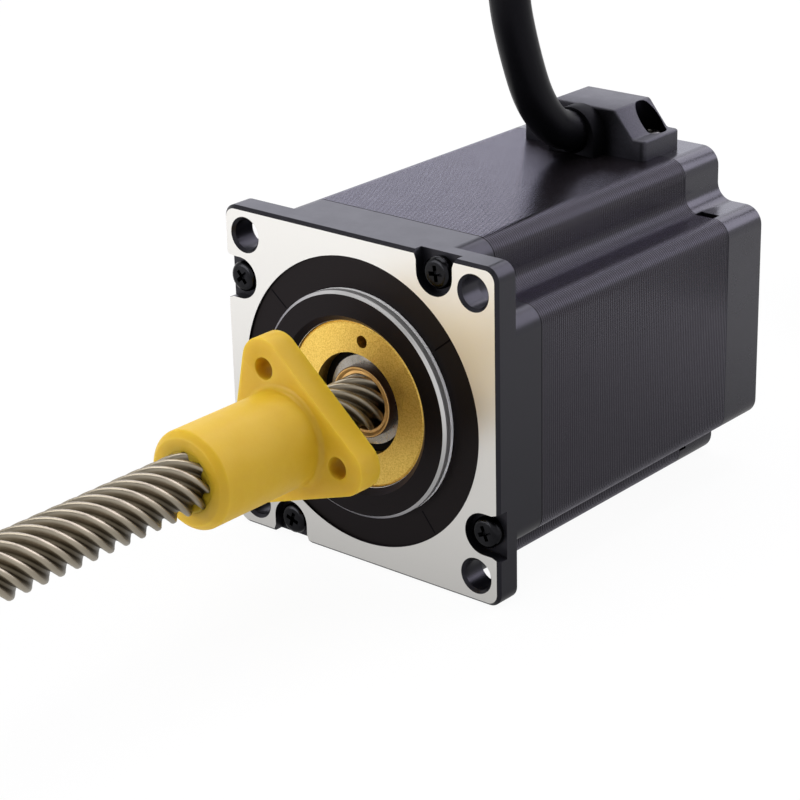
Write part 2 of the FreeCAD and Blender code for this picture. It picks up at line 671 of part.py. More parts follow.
def rotor_pieces():
    """Cups, magnets and spacer of the rotor by node name."""
    cup, section = rotor_lengths()
    pieces = {}
    for index in range(ROTOR_SECTIONS):
        start = STACK_FRONT + ROTOR_INSET + index * (section + SECTION_SPACER)
        second = start + cup + CUP_GAP
        pieces[f"rotor_cup_{2 * index + 1}"] = rotor_cup(start, cup, True, 0.0)
        pieces[f"rotor_cup_{2 * index + 2}"] = rotor_cup(second, cup, False, TOOTH_PITCH / 2)
        magnet = (start + cup - MAGNET_RECESS, second + MAGNET_RECESS)
        pieces[f"rotor_magnet_{index + 1}"] = ring(SLEEVE_R, MAGNET_D / 2, *magnet)
        if index:
            pieces[f"rotor_spacer_{index}"] = ring(SLEEVE_R, MAGNET_D / 2, start - SECTION_SPACER, start)
    return pieces


def nut_flange():
    """Three-cornered flange of the nut, with rounded corners and three holes."""
    corners = []
    reach = NUT_CORNER_CIRCLE_D / 2 + 2 * NUT_CORNER_RADIUS
    turns = [index * 360.0 / NUT_CORNERS for index in range(NUT_CORNERS)]
    for turn in turns:
        x, z = polar(reach, NUT_TURN + turn)
        corners.append((x, z, NUT_CORNER_RADIUS))
    hole_x, hole_z = polar(NUT_HOLE_CIRCLE_D / 2, NUT_TURN)
    hole = circle_wire(NUT_HOLE_D / 2, NUT_FACE, hole_x, hole_z)
    return plate(rounded_wire(corners, NUT_FACE), pattern(hole, turns), NUT_FLANGE_THICKNESS)


def drive_nut():
    """Flanged plastic nut, barrel towards the screw's free end."""
    radius = NUT_BARREL_D / 2
    neck = NUT_NECK_FILLET
    profile = Part.Wire([
        Part.LineSegment(vec(0, NUT_END, 0), vec(0, NUT_END, radius - NUT_END_CHAMFER)).toShape(),
        Part.LineSegment(vec(0, NUT_END, radius - NUT_END_CHAMFER),
                         vec(0, NUT_END + NUT_END_CHAMFER, radius)).toShape(),
        Part.LineSegment(vec(0, NUT_END + NUT_END_CHAMFER, radius),
                         vec(0, NUT_FACE - neck, radius)).toShape(),
        Part.Arc(vec(0, NUT_FACE - neck, radius),
                 vec(0, NUT_FACE - neck + neck * math.sin(math.pi / 4),
                     radius + neck - neck * math.cos(math.pi / 4)),
                 vec(0, NUT_FACE, radius + neck)).toShape(),
        Part.LineSegment(vec(0, NUT_FACE, radius + neck), vec(0, NUT_REAR, radius + neck)).toShape(),
        Part.LineSegment(vec(0, NUT_REAR, radius + neck), vec(0, NUT_REAR, 0)).toShape(),
        Part.LineSegment(vec(0, NUT_REAR, 0), vec(0, NUT_END, 0)).toShape(),
    ])
    barrel = Part.Face(profile).revolve(CENTRE, ALONG, 360)
    bore = rod(SCREW_R + NUT_BORE_CLEARANCE, NUT_END, NUT_REAR)
    return fused([barrel, nut_flange()]).cut(bore)


def arch(radius, start, end):
    """Arch-topped bar round the cable, straight-sided down to the motor's top face."""
    left = vec(CLAMP_OFFSET - radius, start, CABLE_Z)
    right = vec(CLAMP_OFFSET + radius, start, CABLE_Z)
    crown = Part.Arc(left, vec(CLAMP_OFFSET, start, CABLE_Z + radius), right).toShape()
    feet = [vec(right.x, start, HALF), vec(left.x, start, HALF)]
    sides = Part.makePolygon([right] + feet + [left])
    return plate(Part.Wire([crown] + sides.Edges), [], end - start)


def cable_clamp():
    """Moulded bridge over the cable, with sloped ends, screw recesses and a blind cable channel."""
    half = CLAMP_LENGTH / 2
    foot = half - CLAMP_FOOT_LENGTH
    top = CLAMP_TOP_LENGTH / 2
    edge = CLAMP_EDGE_RADIUS
    slope = [(top, CLAMP_HEIGHT, edge), (foot, CLAMP_FOOT_HEIGHT, edge)]
    right = slope + [(half, CLAMP_FOOT_HEIGHT, edge), (half, 0, 0)]
    left = [(-x, z, radius) for x, z, radius in reversed(right)]
    outline = [(CLAMP_OFFSET + x, HALF + z, radius) for x, z, radius in right + left]
    bridge = plate(rounded_wire(outline, CLAMP_FRONT), [], CLAMP_DEPTH)
    cuts = [arch(GROMMET_NECK_R, CLAMP_FRONT, CLAMP_REAR - CLAMP_REAR_WALL)]
    for x in clamp_screw_places():
        recess = vec(x, CLAMP_SCREW_Y, HALF + CLAMP_RECESS_FLOOR)
        cuts.append(Part.makeCylinder(CLAMP_RECESS_D / 2, CLAMP_HEIGHT, recess))
        hole = vec(x, CLAMP_SCREW_Y, HALF)
        cuts.append(Part.makeCylinder(CLAMP_SCREW_D / 2 + SCREW_CLEARANCE, CLAMP_HEIGHT, hole))
    return bridge.cut(cuts)


def clamp_screws():
    """Two screws that hold the clamp down on the rear casting."""
    screws = []
    for x in clamp_screw_places():
        seat = HALF + CLAMP_RECESS_FLOOR
        shank_length = CLAMP_RECESS_FLOOR + CLAMP_SCREW_REACH - SCREW_CLEARANCE
        tip = vec(x, CLAMP_SCREW_Y, seat - shank_length)
        shank = Part.makeCylinder(CLAMP_SCREW_D / 2, shank_length, tip)
        under_head = vec(x, CLAMP_SCREW_Y, seat)
        head = Part.makeCylinder(CLAMP_SCREW_HEAD_D / 2, CLAMP_SCREW_HEAD_HEIGHT, under_head)
        screws.append(fused([shank, head]))
    return Part.makeCompound(screws)


def cable_grommet():
    """Rubber grommet in the clamp's mouth, with a flange in front."""
    flange = arch(GROMMET_FLANGE_R, CLAMP_FRONT - GROMMET_STANDOUT, CLAMP_FRONT)
    neck = arch(GROMMET_NECK_R, CLAMP_FRONT, CLAMP_FRONT + GROMMET_NECK_LENGTH)
    hole = rod(CABLE_R + GROMMET_FIT, CLAMP_FRONT - GROMMET_STANDOUT, CLAMP_FRONT + GROMMET_NECK_LENGTH,
               CLAMP_OFFSET, CABLE_Z)
    return fused([flange, neck]).cut(hole)


def tube(points, radii, radius):
    """Round tube along straight runs joined by tangent arcs; returns the solid and its length."""
    edges = []
    start = points[0]
    for index in range(1, len(points) - 1):
        corner = points[index]
        back = (points[index - 1] - corner).normalize()
        ahead = (points[index + 1] - corner).normalize()
        half_angle = back.getAngle(ahead) / 2
        reach = radii[index] / math.tan(half_angle)
        bisector = (back + ahead).normalize()
        middle = corner + bisector * (radii[index] / math.sin(half_angle) - radii[index])
        edges.append(Part.LineSegment(start, corner + back * reach).toShape())
        edges.append(Part.Arc(corner + back * reach, middle, corner + ahead * reach).toShape())
        start = corner + ahead * reach
    edges.append(Part.LineSegment(start, points[-1]).toShape())
    path = Part.Wire(edges)
    direction = points[1] - points[0]
    section = Part.Wire([Part.Circle(points[0], direction, radius).toShape()])
    return path.makePipeShell([section], True, False), path.Length


def largest_radii(points):
    """Arc radius at each inner point, as large as its two runs allow."""
    share = 0.45
    radii = {}
    for index in range(1, len(points) - 1):
        back = points[index - 1] - points[index]
        ahead = points[index + 1] - points[index]
        half_turn = (math.pi - back.getAngle(ahead)) / 2
        radii[index] = share * min(back.Length, ahead.Length) / math.tan(half_turn)
    return radii


def cable():
    """Free stretch of the cable, from the clamp up, over and down to its coil."""
    points = [vec(*point) for point in CABLE_ROUTE]
    radii = largest_radii(points)
    solid, length = tube(points, radii, CABLE_R)
    expected = math.pi * CABLE_R ** 2 * length
    print("cable radii", [round(radius, 1) for radius in radii.values()])
    print("cable length", round(length, 1), "volume share", round(solid.Volume / expected, 4))
    print("coil turns", round((CABLE_LENGTH - length) / (math.pi * COIL_CIRCLE_D), 2))
    return solid


def cable_coil():
    """Outer shape of the coiled rest of the cable."""
    x, y = COIL_CENTRE
    outer = Part.makeCylinder(COIL_OUTER_R, COIL_HEIGHT, vec(x, y, COIL_BASE))
    inner = Part.makeCylinder(COIL_INNER_R, COIL_HEIGHT, vec(x, y, COIL_BASE))
    band = outer.cut(inner)
    rims = [edge for edge in band.Edges if isinstance(edge.Curve, Part.Circle)]
    return band.makeChamfer(COIL_EDGE_CHAMFER, rims)


def coil_tie():
    """Strap round the coil at one place."""
    half = TIE_BAND_WIDTH / 2
    thick = TIE_BAND_THICKNESS
    width = (-half, half)
    top = COIL_BASE + COIL_HEIGHT
    across = (COIL_INNER_R - TIE_BAND_SLACK, COIL_OUTER_R + TIE_BAND_SLACK)
    outer = box((across[0] - thick, across[1] + thick), width, (-HALF, top + thick))
    inner = box(across, width, (COIL_BASE, top))
    strap = outer.cut(inner)
    strap.rotate(CENTRE, UP, TIE_BAND_ANGLE)
    return moved(strap, COIL_CENTRE[0], COIL_CENTRE[1], 0)


def flying_leads():
    """Stripped conductors at the cable's far end, leaving the coil's lowest turn."""
    leads = []
    middle = (LEAD_COUNT - 1) / 2
    angle = math.radians(FLYING_LEAD_ANGLE)
    outward = vec(math.cos(angle), math.sin(angle), 0)
    end = vec(*COIL_CENTRE, COIL_BASE + CABLE_R) + outward * (COIL_CIRCLE_D / 2)
    for index in range(LEAD_COUNT):
        spread = index - middle
        heading = angle + math.radians(90 - FLYING_LEAD_SPLAY * spread)
        direction = vec(math.cos(heading), math.sin(heading), 0)
        start = end + outward * (spread * LEAD_PITCH)
        leads.append(Part.makeCylinder(LEAD_D / 2, FLYING_LEAD_LENGTH, start, direction))
    return Part.makeCompound(leads)


def inner_leads():
    """Conductors from the cable's inner end, through the window, to the connection board."""
    leads = []
    radius = LEAD_D / 2
    drop_y = BOARD_FRONT - radius
    start_y = CLAMP_FRONT + CABLE_GRIP
    for index in range(LEAD_COUNT):
        x = CLAMP_OFFSET + (index - (LEAD_COUNT - 1) / 2) * LEAD_PITCH
        points = [vec(x, start_y, CABLE_Z), vec(x, drop_y, CABLE_Z), vec(x, drop_y, BOARD_R)]
        solid, _ = tube(points, {1: LEAD_BEND_RADIUS}, radius)
        leads.append(solid)
    return Part.makeCompound(leads)


def all_pieces():
    """Every piece of the motor by node name."""
    front_inner = FRONT_BEARING_BORE / 2
    front_middle = (FRONT_BEARING_FRONT + FRONT_BEARING_REAR) / 2
    rear_middle = (REAR_BEARING_FRONT + REAR_BEARING_REAR) / 2
    front_span = (FRONT_BEARING_FRONT, FRONT_BEARING_REAR)
    rear_span = (REAR_BEARING_FRONT, REAR_BEARING_REAR)
    washer_outer = REAR_BEARING_OD / 2 - RETAINER_PLAY
    pieces = {
        "front_cap": front_cap(),
        "stator_stack": stator_stack(),
        "rear_cap": rear_cap(),
        "front_insulator": insulator(STACK_FRONT, -1),
        "rear_insulator": insulator(STACK_REAR, 1),
        "connection_board": connection_board(),
        "inner_leads": inner_leads(),
        "front_bearing_outer": ring(FRONT_OUTER_R, FRONT_BEARING_OD / 2, *front_span),
        "front_bearing_inner": ring(front_inner, FRONT_INNER_R, *front_span),
        "front_bearing_balls": bearing_balls(FRONT_BALL_D, FRONT_INNER_R, front_middle, FRONT_BALL_COUNT),
        "front_bearing_shields": front_bearing_shields(),
        "rear_bearing_outer": ring(REAR_OUTER_R, REAR_BEARING_OD / 2, *rear_span),
        "rear_bearing_inner": ring(REAR_BEARING_BORE / 2, REAR_INNER_R, *rear_span),
        "rear_bearing_balls": bearing_balls(REAR_BALL_D, REAR_INNER_R, rear_middle, REAR_BALL_COUNT),
        "preload_washer": ring(washer_outer - WASHER_WIDTH, washer_outer, REAR_BEARING_REAR, REAR_SEAT),
        "bearing_retainer": bearing_retainer(),
        "tie_screws": tie_screws(),
        "rotor_sleeve": rotor_sleeve(),
        "lead_screw": lead_screw(),
        "drive_nut": drive_nut(),
        "cable_clamp": cable_clamp(),
        "clamp_screws": clamp_screws(),
        "cable_grommet": cable_grommet(),
        "cable": cable(),
        "cable_coil": cable_coil(),
        "coil_tie": coil_tie(),
        "flying_leads": flying_leads(),
    }
    pieces.update(rotor_pieces())
    winding = coil()
    for index in range(POLE_COUNT):
        pieces[f"coil_{index + 1}"] = turned(winding, index * POLE_PITCH)
    return pieces


def main():
    """Write one STEP file per piece."""
    os.makedirs("parts", exist_ok=True)
    for name, shape in all_pieces().items():
        shape.exportStep(f"parts/{name}.step")


main()
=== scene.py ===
"""Dressed model of an external linear stepper motor: thread, cable, fasteners, finishes, light and camera.

Metres, in the part's own frame: the screw's axis is Y and points to -Y, Z is up, and the origin is the
centre of the mounting face.  Sizes below are written in millimetres and scaled by MM.
"""
import logging
import math
from dataclasses import dataclass
from enum import Enum
from typing import Any, Callable

import bmesh
import bpy
from mathutils import Matrix, Vector


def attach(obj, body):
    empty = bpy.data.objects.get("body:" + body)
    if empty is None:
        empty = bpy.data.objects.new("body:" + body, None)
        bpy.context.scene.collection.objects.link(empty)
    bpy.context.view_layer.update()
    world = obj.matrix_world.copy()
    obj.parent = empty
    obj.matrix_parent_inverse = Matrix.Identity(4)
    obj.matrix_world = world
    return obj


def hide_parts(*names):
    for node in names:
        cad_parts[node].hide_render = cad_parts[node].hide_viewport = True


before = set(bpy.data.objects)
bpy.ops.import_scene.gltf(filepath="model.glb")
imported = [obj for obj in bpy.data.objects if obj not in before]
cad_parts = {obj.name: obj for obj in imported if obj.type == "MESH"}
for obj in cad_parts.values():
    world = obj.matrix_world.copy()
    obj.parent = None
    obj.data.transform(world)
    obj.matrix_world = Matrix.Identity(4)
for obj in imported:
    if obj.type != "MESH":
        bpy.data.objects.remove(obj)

MM = 0.001
IMAGE_SIZE = 800
QUARTER = math.pi / 2
ORIGIN = (0.0, 0.0, 0.0)
ROUND_X = (QUARTER, 0.0, 0.0)
WHITE = "#ffffff"
# Axes of the clamp's two screws in X and Y, the height of their seat, and the wells that they sit in.
CLAMP_SCREWS = ((-8.0, 66.0), (10.0, 66.0))
CLAMP_SEAT = 29.1
CLAMP_WELL = 2.7
# A face counts as looking along an axis when its normal's share of that axis is above this.
SQUARE_ON = 0.9
# Points closer than this many millimetres to a height count as lying on it.
SAME_HEIGHT = 1e-3
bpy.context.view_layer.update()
log = logging.getLogger("motor")

Socket = bpy.types.NodeSocket
Node = bpy.types.Node
Piece = bpy.types.Object
Value = Socket | float
Point = tuple[float, float, float]


def linear(hex_colour: str) -> tuple[float, float, float, float]:
    """Turn an sRGB hex colour into Blender's linear colour.

    Args:
        hex_colour: Six hex digits after a hash sign.

    Returns:
        Linear red, green and blue, with full alpha.
    """
    parts = [int(hex_colour[i:i + 2], 16) / 255 for i in (1, 3, 5)]
    values = [p / 12.92 if p <= 0.04045 else ((p + 0.055) / 1.055) ** 2.4 for p in parts]
    return values[0], values[1], values[2], 1.0


class Limit(Enum):
    """Side of a limit on which a value has to lie."""

    BELOW = "LESS_THAN"
    ABOVE = "GREATER_THAN"


class Graph:
    """Node tree of a material or of the world, and the places and zones that its finishes ask for."""

    def __init__(self, owner: bpy.types.Material | bpy.types.World) -> None:
        """Start with an empty tree.

        Args:
            owner: Material or world that the tree belongs to.
        """
        owner.use_nodes = True
        self.tree = owner.node_tree
        self.tree.nodes.clear()

    def add(self, kind: str, inputs: dict[Any, Any] | None = None, **options: Any) -> Node:
        """Add one node with its settings and links.

        Args:
            kind: Blender's type name, without the leading "ShaderNode".
            inputs: Input name or index with a value, or with the socket that feeds it.
            **options: Attributes of the node.

        Returns:
            The new node.
        """
        node = self.tree.nodes.new(f"ShaderNode{kind}")
        for name, value in options.items():
            setattr(node, name, value)
        for key, value in (inputs or {}).items():
            if isinstance(value, Socket):
                self.feed(node, key, value)
            else:
                node.inputs[key].default_value = value
        return node

    def feed(self, node: Node, key: Any, socket: Socket) -> None:
        """Link a socket to a node's input."""
        self.tree.links.new(socket, node.inputs[key])

    def along(self, place: Socket) -> Socket:
        """Way along the screw's axis."""
        return self.add("SeparateXYZ", {0: place}).outputs[1]

    def across_axis(self, place: Socket) -> Socket:
        """Place with its way along the screw's axis left out."""
        axes = self.add("SeparateXYZ", {0: place}).outputs
        return self.add("CombineXYZ", {0: axes[0], 2: axes[2]}).outputs[0]

    def radius(self, place: Socket) -> Socket:
        """Distance from the screw's axis."""
        return self.add("VectorMath", {0: self.across_axis(place)}, operation="LENGTH").outputs["Value"]

    def facing(self) -> Socket:
        """Y of the surface's normal."""
        return self.along(self.add("NewGeometry").outputs["Normal"])

    def zone(self, *tests: tuple[Socket, Limit, float]) -> Socket:
        """Mask of the places that pass every test.

        Args:
            *tests: A value, the side of a limit on which it has to lie, and that limit.

        Returns:
            One inside the zone, else zero.
        """
        mask: Value = 1.0
        for value, side, limit in tests:
            passed = self.add("Math", {0: value, 1: limit}, operation=side.value).outputs[0]
            mask = self.add("Math", {0: mask, 1: passed}, operation="MULTIPLY").outputs[0]
        return mask


class Marks(Enum):
    """Way in which a surface's tool or build marks run."""

    NONE = "none"
    RINGS = "rings round the screw's axis"
    LAYERS = "layers stacked along the screw's axis"


@dataclass(frozen=True)
class Finish:
    """A material and the way its surface was made.

    Args:
        title: Material and process, used as the material's name.
        colour: Main colour.
        shade: Second colour from grain, dirt or wear, and the painted shade of thread roots and stack
            hollows.
        metallic: One for bare metal, zero for coats and plastics, between them for oily metal.
        roughness: Middle of the roughness.
        spread: How far roughness strays from its middle.
        grain: Width of the surface's grain in millimetres.
        relief: Depth of the grain in millimetres.
        mix: Share of the second colour.
        marks: How tool or build marks run.
        pitch: Spacing of those marks in millimetres.
        depth: Depth of those marks in millimetres.
        banding: Share of the second colour in the marks' hollows, whose gloss is taken out as painted shade.
        specular: Specular level of the shader.
        anisotropy: Stretch of highlights on turned metal.
        gleam: Colour of the gloss.
        speckle: Share of the second colour that the fine grain brings in.
        wax: Share of light that goes through the surface and comes out nearby.
        seams: Y of the joints with neighbouring pieces, in millimetres.
        seam_width: Half width of the groove at a joint, in millimetres.
        seam_depth: Depth of that groove, in millimetres.
        wax_reach: How far light goes through wax, in millimetres.
        wax_tint: Shares of that reach for red, green and blue light.
        fleck_span: Heights of the fine grain between which flecks come in.
        cloud_grains: Width of the slow cloud in grains.
        cloud_span: Values of the slow cloud's noise that become zero and one.
    """

    title: str
    colour: str
    shade: str
    metallic: float = 0.0
    roughness: float = 0.45
    spread: float = 0.06
    grain: float = 0.4
    relief: float = 0.004
    mix: float = 0.5
    marks: Marks = Marks.NONE
    pitch: float = 0.5
    depth: float = 0.0
    banding: float = 0.0
    specular: float = 0.5
    anisotropy: float = 0.0
    gleam: str = WHITE
    speckle: float = 0.0
    wax: float = 0.0
    seams: tuple[float, ...] = ()
    seam_width: float = 0.22
    seam_depth: float = 0.15
    wax_reach: float = 3.0
    wax_tint: Point = (1.0, 0.95, 0.6)
    fleck_span: tuple[float, float] = (0.42, 0.62)
    cloud_grains: int = 12
    cloud_span: tuple[float, float] = (0.35, 0.65)

    def build(self) -> bpy.types.Material:
        """Make the material, or find it when it is made already.

        Returns:
            The finished material.
        """
        made = bpy.data.materials.get(self.title)
        if made:
            return made
        material = bpy.data.materials.new(self.title)
        graph = Graph(material)
        place = graph.add("Mapping", {
            "Vector": graph.add("TexCoord").outputs["Object"], "Scale": (1 / MM, 1 / MM, 1 / MM)}).outputs[0]
        shader = graph.add("BsdfPrincipled", {
            "Metallic": self.metallic, "Specular IOR Level": self.specular, "Anisotropic": self.anisotropy,
            "Specular Tint": linear(self.gleam), "Subsurface Weight": self.wax,
            "Subsurface Scale": self.wax_reach * MM, "Subsurface Radius": self.wax_tint})
        if self.anisotropy:
            turning = graph.add("Tangent", direction_type="RADIAL", axis="Y")
            graph.feed(shader, "Tangent", turning.outputs[0])
        self.dress(graph, place, shader)
        graph.add("OutputMaterial", {"Surface": shader.outputs[0]})
        return material

    def dress(self, graph: Graph, place: Socket, shader: Node) -> None:
        """Feed colour, roughness and relief into the shader.

        Args:
            graph: Node tree of the material.
            place: Object coordinates in millimetres.
            shader: Principled shader.
        """
        fine = self.fine_grain(graph, place)
        wide = self.wide_grain(graph, place)
        colour = self.tint(graph, place, wide)
        if self.banding:
            shaded_hollow = graph.add("MapRange", {
                "Value": self.tool_marks(graph, place), "To Min": self.banding, "To Max": 0.0}).outputs[0]
            colour = graph.add("Mix", {
                0: shaded_hollow, 6: colour, 7: linear(self.shade)}, data_type="RGBA").outputs[2]
            # The hollows between sheets are dark gaps; dark metal there takes out their gloss as painted
            # shade.
            graph.feed(shader, "Metallic", shaded_hollow)
        if self.speckle:
            first, last = self.fleck_span
            fleck = graph.add("MapRange", {
                "Value": fine, "From Min": first, "From Max": last, "To Max": self.speckle}).outputs[0]
            colour = graph.add("Mix", {
                0: fleck, 6: colour, 7: linear(self.shade)}, data_type="RGBA").outputs[2]
        graph.feed(shader, "Base Color", colour)
        graph.feed(shader, "Roughness", self.gloss(graph, wide))
        graph.feed(shader, "Normal", self.normal(graph, place, fine))

    def fine_grain(self, graph: Graph, place: Socket) -> Socket:
        """Noise at the surface's own grain, zero to one."""
        return graph.add("TexNoise", {
            "Vector": place, "Scale": 1 / self.grain, "Detail": 3.0, "Roughness": 0.6}).outputs[0]

    def wide_grain(self, graph: Graph, place: Socket) -> Socket:
        """Slow cloud that carries handling marks and uneven colour, zero to one."""
        cloud = graph.add("TexNoise", {
            "Vector": place, "Scale": 1 / (self.cloud_grains * self.grain), "Detail": 6.0, "Roughness": 0.7})
        return graph.add("MapRange", {
            "Value": cloud.outputs[0], "From Min": self.cloud_span[0],
            "From Max": self.cloud_span[1]}).outputs[0]

    def tint(self, graph: Graph, place: Socket, wide: Socket) -> Socket:
        """Colour of the surface, the main colour clouded by the second one.

        Args:
            graph: Node tree of the material.
            place: Object coordinates in millimetres; not used.
            wide: Slow cloud.

        Returns:
            The colour's socket.
        """
        share = graph.add("Math", {0: wide, 1: self.mix}, operation="MULTIPLY").outputs[0]
        return graph.add("Mix", {
            0: share, 6: linear(self.colour), 7: linear(self.shade)}, data_type="RGBA").outputs[2]

    def gloss(self, graph: Graph, wide: Socket) -> Socket:
        """Roughness that strays round its middle with the slow cloud."""
        return graph.add("MapRange", {
            "Value": wide, "To Min": self.roughness - self.spread,
            "To Max": self.roughness + self.spread}).outputs[0]

    def tool_marks(self, graph: Graph, place: Socket) -> Socket:
        """Height of the tool or build marks, zero to one.

        Args:
            graph: Node tree of the material.
            place: Object coordinates in millimetres.

        Returns:
            The height's socket.
        """
        # A wave texture has one period in 2 pi / 20 of its coordinate at scale one.
        scale = 2 * math.pi / 20 / self.pitch
        if self.marks is Marks.RINGS:
            options = {"wave_type": "RINGS", "rings_direction": "Y"}
        else:
            options = {"wave_type": "BANDS", "bands_direction": "Y"}
        return graph.add("TexWave", {
            "Vector": place, "Scale": scale, "Distortion": 0.4, "Detail": 1.0, "Detail Scale": 0.6},
            **options).outputs[1]

    def normal(self, graph: Graph, place: Socket, fine: Socket) -> Socket:
        """Shading normal from grain, marks and seams.

        Args:
            graph: Node tree of the material.
            place: Object coordinates in millimetres.
            fine: Fine grain.

        Returns:
            The normal's socket.
        """
        normal = graph.add("Bump", {"Height": fine, "Distance": self.relief * MM, "Strength": 1.0}).outputs[0]
        if self.marks is not Marks.NONE:
            normal = graph.add("Bump", {
                "Height": self.tool_marks(graph, place), "Distance": self.depth * MM, "Strength": 1.0,
                "Normal": normal}).outputs[0]
        for seam in self.seams:
            away = graph.add("Math", {0: graph.along(place), 1: seam}, operation="SUBTRACT").outputs[0]
            away = graph.add("Math", {0: away}, operation="ABSOLUTE").outputs[0]
            lip = graph.add("MapRange", {
                "Value": away, "From Max": self.seam_width}, interpolation_type="SMOOTHSTEP").outputs[0]
            normal = graph.add("Bump", {
                "Height": lip, "Distance": self.seam_depth * MM, "Strength": 1.0,
                "Normal": normal}).outputs[0]
        return normal


@dataclass(frozen=True)
class CapFinish(Finish):
    """Black-coated casting whose mounting face, pilot wall and bore are cut bright after coating.

    The fields are colours, radii, Y of the zones' ends and the roughness of each zone.
    """

    face_metal: str = "#e1dfdb"
    wall_metal: str = WHITE
    # Wall rim, groove and root zones are painted reflection: bright, grey and bright bands along the wall.
    wall_rim: str = "#c4c3c2"
    wall_groove: str = "#aeadac"
    groove_painted_dull: float = 0.2
    dull_black: str = "#23201f"
    scribe_black: str = "#030303"
    relief_edge: float = 24.38
    edge_play: float = 0.02
    pilot_inside: float = 18.58
    pilot_outside: float = 19.2
    bore: float = 14.03
    face_end: float = 0.03
    wall_span: tuple[float, float] = (-1.25, -0.25)
    wall_end: float = 0.38
    turned_end: float = 0.45
    seat_end: float = 2.0
    turned_rough: float = 0.4
    cut_rough: float = 0.36
    groove_rough: float = 0.5
    root_rough: float = 0.6
    scribe_angles: tuple[float, ...] = (-51.5, 38.5, 140.5)
    scribe_span: tuple[float, float] = (19.9, 24.0)
    scribe_half: float = 0.12

    def dress(self, graph: Graph, place: Socket, shader: Node) -> None:
        """Feed the casting's zones into the shader.

        Args:
            graph: Node tree of the material.
            place: Object coordinates in millimetres.
            shader: Principled shader.
        """
        fine = self.fine_grain(graph, place)
        wide = self.wide_grain(graph, place)
        flat = graph.across_axis(place)
        radius = graph.radius(place)
        along = graph.along(place)
        rim_end, groove_end = self.wall_span
        on_wall = ((radius, Limit.ABOVE, self.pilot_inside), (radius, Limit.BELOW, self.pilot_outside),
                   (along, Limit.BELOW, self.wall_end))
        face = graph.zone((along, Limit.BELOW, self.face_end), (graph.facing(), Limit.BELOW, -SQUARE_ON),
                          (radius, Limit.ABOVE, self.relief_edge))
        wall = graph.zone(*on_wall)
        rim = graph.zone(*on_wall, (along, Limit.BELOW, rim_end))
        groove = graph.zone(*on_wall, (along, Limit.ABOVE, rim_end), (along, Limit.BELOW, groove_end))
        root = graph.zone(*on_wall, (along, Limit.ABOVE, groove_end))
        seat = graph.zone((radius, Limit.BELOW, self.bore), (along, Limit.BELOW, self.seat_end))
        turned = graph.zone((radius, Limit.BELOW, self.relief_edge + self.edge_play),
                            (along, Limit.BELOW, self.turned_end))
        colour = self.tint(graph, place, wide)
        for mask, tone in ((turned, self.dull_black), (self.scribe_lines(graph, flat), self.scribe_black),
                           (face, self.face_metal), (wall, self.wall_metal), (seat, self.wall_metal),
                           (groove, self.wall_groove), (rim, self.wall_rim)):
            colour = graph.add("Mix", {0: mask, 6: colour, 7: linear(tone)}, data_type="RGBA").outputs[2]
        graph.feed(shader, "Base Color", colour)
        # The thin dull coat that turning left shows as dark metal, so it counts as metal too.
        metal: Value = self.metallic
        rough = self.gloss(graph, wide)
        # Painted reflection: the groove is duller metal and the root white non-metal.
        for mask, share, roughness in (
                (turned, 1.0, self.turned_rough), (face, 1.0, self.cut_rough), (wall, 1.0, self.cut_rough),
                (seat, 1.0, self.cut_rough), (groove, 1.0 - self.groove_painted_dull, self.groove_rough),
                (root, 0.0, self.root_rough)):
            metal = graph.add("Mix", {0: mask, 2: metal, 3: share}).outputs[0]
            rough = graph.add("Mix", {0: mask, 2: rough, 3: roughness}).outputs[0]
        graph.feed(shader, "Metallic", metal)
        graph.feed(shader, "Roughness", rough)
        rings = graph.add("Math", {
            0: self.tool_marks(graph, flat), 1: turned}, operation="MULTIPLY").outputs[0]
        normal = graph.add("Bump", {"Height": fine, "Distance": self.relief * MM, "Strength": 1.0}).outputs[0]
        normal = graph.add("Bump", {
            "Height": rings, "Distance": self.depth * MM, "Strength": 1.0, "Normal": normal}).outputs[0]
        graph.feed(shader, "Normal", normal)

    def scribe_lines(self, graph: Graph, flat: Socket) -> Socket:
        """Mask of the layout lines scribed across the relief ring.

        Args:
            graph: Node tree of the material.
            flat: Object coordinates across the axis, in millimetres.

        Returns:
            One on a line, else zero.
        """
        start, end = self.scribe_span
        mask: Value = 0.0
        for angle in self.scribe_angles:
            x, z = math.cos(math.radians(angle)), math.sin(math.radians(angle))
            along, aside = (
                graph.add("VectorMath", {0: flat, 1: way}, operation="DOT_PRODUCT").outputs["Value"]
                for way in ((x, 0.0, z), (-z, 0.0, x)))
            line = graph.zone((along, Limit.ABOVE, start), (along, Limit.BELOW, end),
                              (aside, Limit.ABOVE, -self.scribe_half), (aside, Limit.BELOW, self.scribe_half))
            mask = graph.add("Math", {0: line, 1: mask}, operation="MAXIMUM").outputs[0]
        return mask


